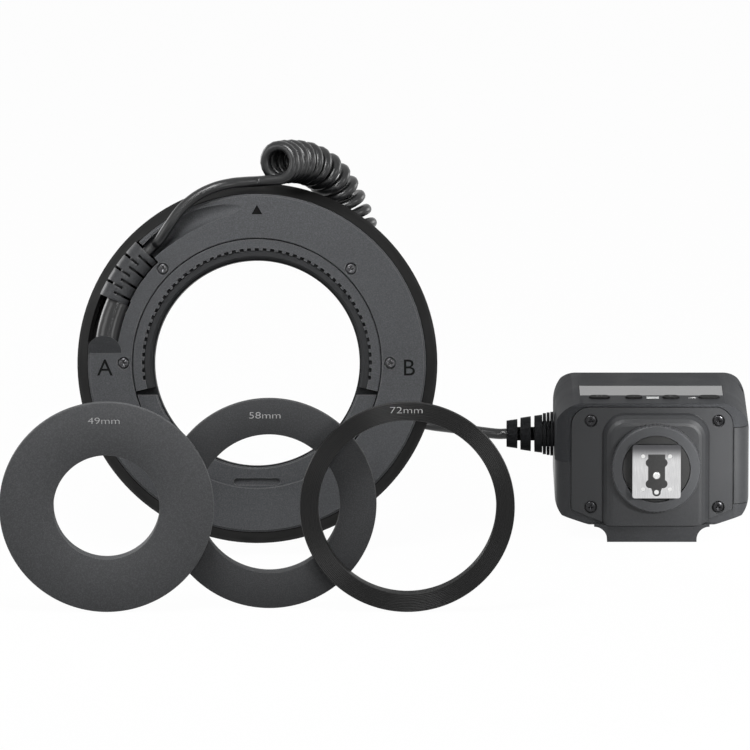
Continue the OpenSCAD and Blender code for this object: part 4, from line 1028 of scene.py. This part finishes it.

# %% [markdown]
# ## Jaw springs
#
# Two small springs push the locking jaw up. As CAD solids they can't shorten, so the jaw would pass through
# them. Here a wire's round section is spun with a small rise at every step, which makes a helix, and the
# pair gets a mesh of its own.

# %% Jaw springs
SPRING_SEAT = Vector((6, -62.4, -1.6))
SPRING_L = 5.4
SPRING_R = 1.55
SPRING_END = 0.25
WIRE_R = 0.23
SPRING_TURNS = 4
SPRING_STEPS = 96
bm = bmesh.new()
for side in (-1, 1):
    foot = Vector((side * SPRING_SEAT.x, SPRING_SEAT.y, SPRING_SEAT.z))
    start = Matrix.Translation(foot + Vector((SPRING_R, SPRING_END, 0)))
    section = bmesh.ops.create_circle(bm, segments=8, radius=WIRE_R, matrix=start)["verts"]
    section_edges = list({e for v in section for e in v.link_edges})
    rise = (0, (SPRING_L - 2 * SPRING_END) / SPRING_STEPS, 0)
    bmesh.ops.spin(bm, geom=section + section_edges, cent=foot, axis=(0, 1, 0), dvec=rise,
                   angle=TURN * SPRING_TURNS, steps=SPRING_STEPS)
bmesh.ops.holes_fill(bm, edges=[e for e in bm.edges if e.is_boundary], sides=0)
springs = place_piece(bm, "jaw_spring_pair", HEAD, STANDING, spring_steel)
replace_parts(springs, "jaw_springs")
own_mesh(springs)
print("springs:", len(springs.data.polygons), "faces")

# %% [markdown]
# ## The light side
#
# On the far side two milky windows cover the tubes. Their outer faces have fine round ribs that spread the
# light, and between the windows sit four small focus lamps, each under a domed lens. Ribs and domes are
# sections again: the ribs are spun through the window's own angle and capped, the domes all the way round.

# %% Window ribs
WINDOW = (45.4, 63.6)
WINDOW_ANGLE = math.radians(75.4)
RIBS = 16
RIB_BACK = -22.7
RIB_FOOT = -22.82
RIB_TOP = -22.97
rib_w = (WINDOW[1] - WINDOW[0]) / RIBS
ribs = [(WINDOW[0], RIB_BACK)]
for k in range(RIBS):
    r = WINDOW[0] + k * rib_w
    ribs += [(r + 0.1 * rib_w, RIB_FOOT), (r + 0.5 * rib_w, RIB_TOP), (r + 0.9 * rib_w, RIB_FOOT)]
ribs.append((WINDOW[1], RIB_BACK))
for name, middle in (("window_ribs_left", math.pi), ("window_ribs_right", 0)):
    bm = bmesh.new()
    spin_section(bm, ribs, steps=80, start=middle - WINDOW_ANGLE, sweep=2 * WINDOW_ANGLE)
    place_piece(bm, name, HEAD, STANDING, milky_acrylic)
print("ribs in each window:", RIBS)

# %% Focus lamp lenses
LAMP_RING = 54.5
DOME = [(0, -22.96), (0.9, -22.93), (1.7, -22.82), (2.2, -22.66), (2.4, -22.5), (0, -22.5)]
LAMP_ANGLES = (84, 96, 264, 276)
for number, degrees in enumerate(LAMP_ANGLES, 1):
    bm = bmesh.new()
    spin_section(bm, DOME, steps=32, closed=False)
    angle = math.radians(degrees)
    seat = HEAD @ Matrix.Translation((LAMP_RING * math.cos(angle), LAMP_RING * math.sin(angle), 0))
    place_piece(bm, "focus_lens_%d" % number, seat, STANDING, clear_glass)
print("focus lenses:", len(LAMP_ANGLES))

# %% [markdown]
# ## Key signs
#
# The controller's top carries a display, which is switched off, and four keys. Three keys carry grey signs,
# and a pale lamp sign stands beside the key for the focus lamps. All are thin prints on a frame that lies
# on the controller's top, with its Y axis pointing away from the shoe.

# %% Key signs
TOP = CONTROLLER @ Matrix.Rotation(-math.pi / 2, 4, "X")
TOP_FACE = 54
KEY_TOP = 54.7
KEY_ROW = 11
SIGN_SIZE = 3.4
KEY_SIGNS = (("mode_key", "M", -20.2), ("minus_key", "-", -6.9), ("plus_key", "+", 7.4))
LAMP_SIGN_X = 15.8
LAMP_RADII = (0.5, 0.78)
RAYS = 8
RAY_REACH = 1.25
RAY_SIZE = (0.5, 0.2, INK)
for body, sign, x in KEY_SIGNS:
    place = (x, KEY_ROW, KEY_TOP + INK / 2)
    print_words("sign_" + body, sign, SIGN_SIZE, TOP, place, body, grey_ink)
bm = bmesh.new()
inner, outer = LAMP_RADII
spin_section(bm, [(inner, 0), (outer, 0), (outer, INK), (inner, INK)], steps=24)
for k in range(RAYS):
    ray = bmesh.ops.create_cube(bm, size=1)["verts"]
    bmesh.ops.scale(bm, vec=RAY_SIZE, verts=ray)
    bmesh.ops.translate(bm, vec=(RAY_REACH, 0, INK / 2), verts=ray)
    bmesh.ops.rotate(bm, cent=(0, 0, 0), matrix=Matrix.Rotation(k * TURN / RAYS, 3, "Z"), verts=ray)
place = Matrix.Translation((LAMP_SIGN_X, KEY_ROW, TOP_FACE))
place_piece(bm, "lamp_sign", TOP @ place, STANDING, white_ink)
print("signs:", [p.name for p in made_pieces[-4:]])

# %% [markdown]
#
# The last cell brings the scene up to date and counts the pieces made. The dressed model has to stay
# inside the CAD model's box.

# %% Finish
bpy.context.view_layer.update()
print("pieces made:", len(made_pieces))
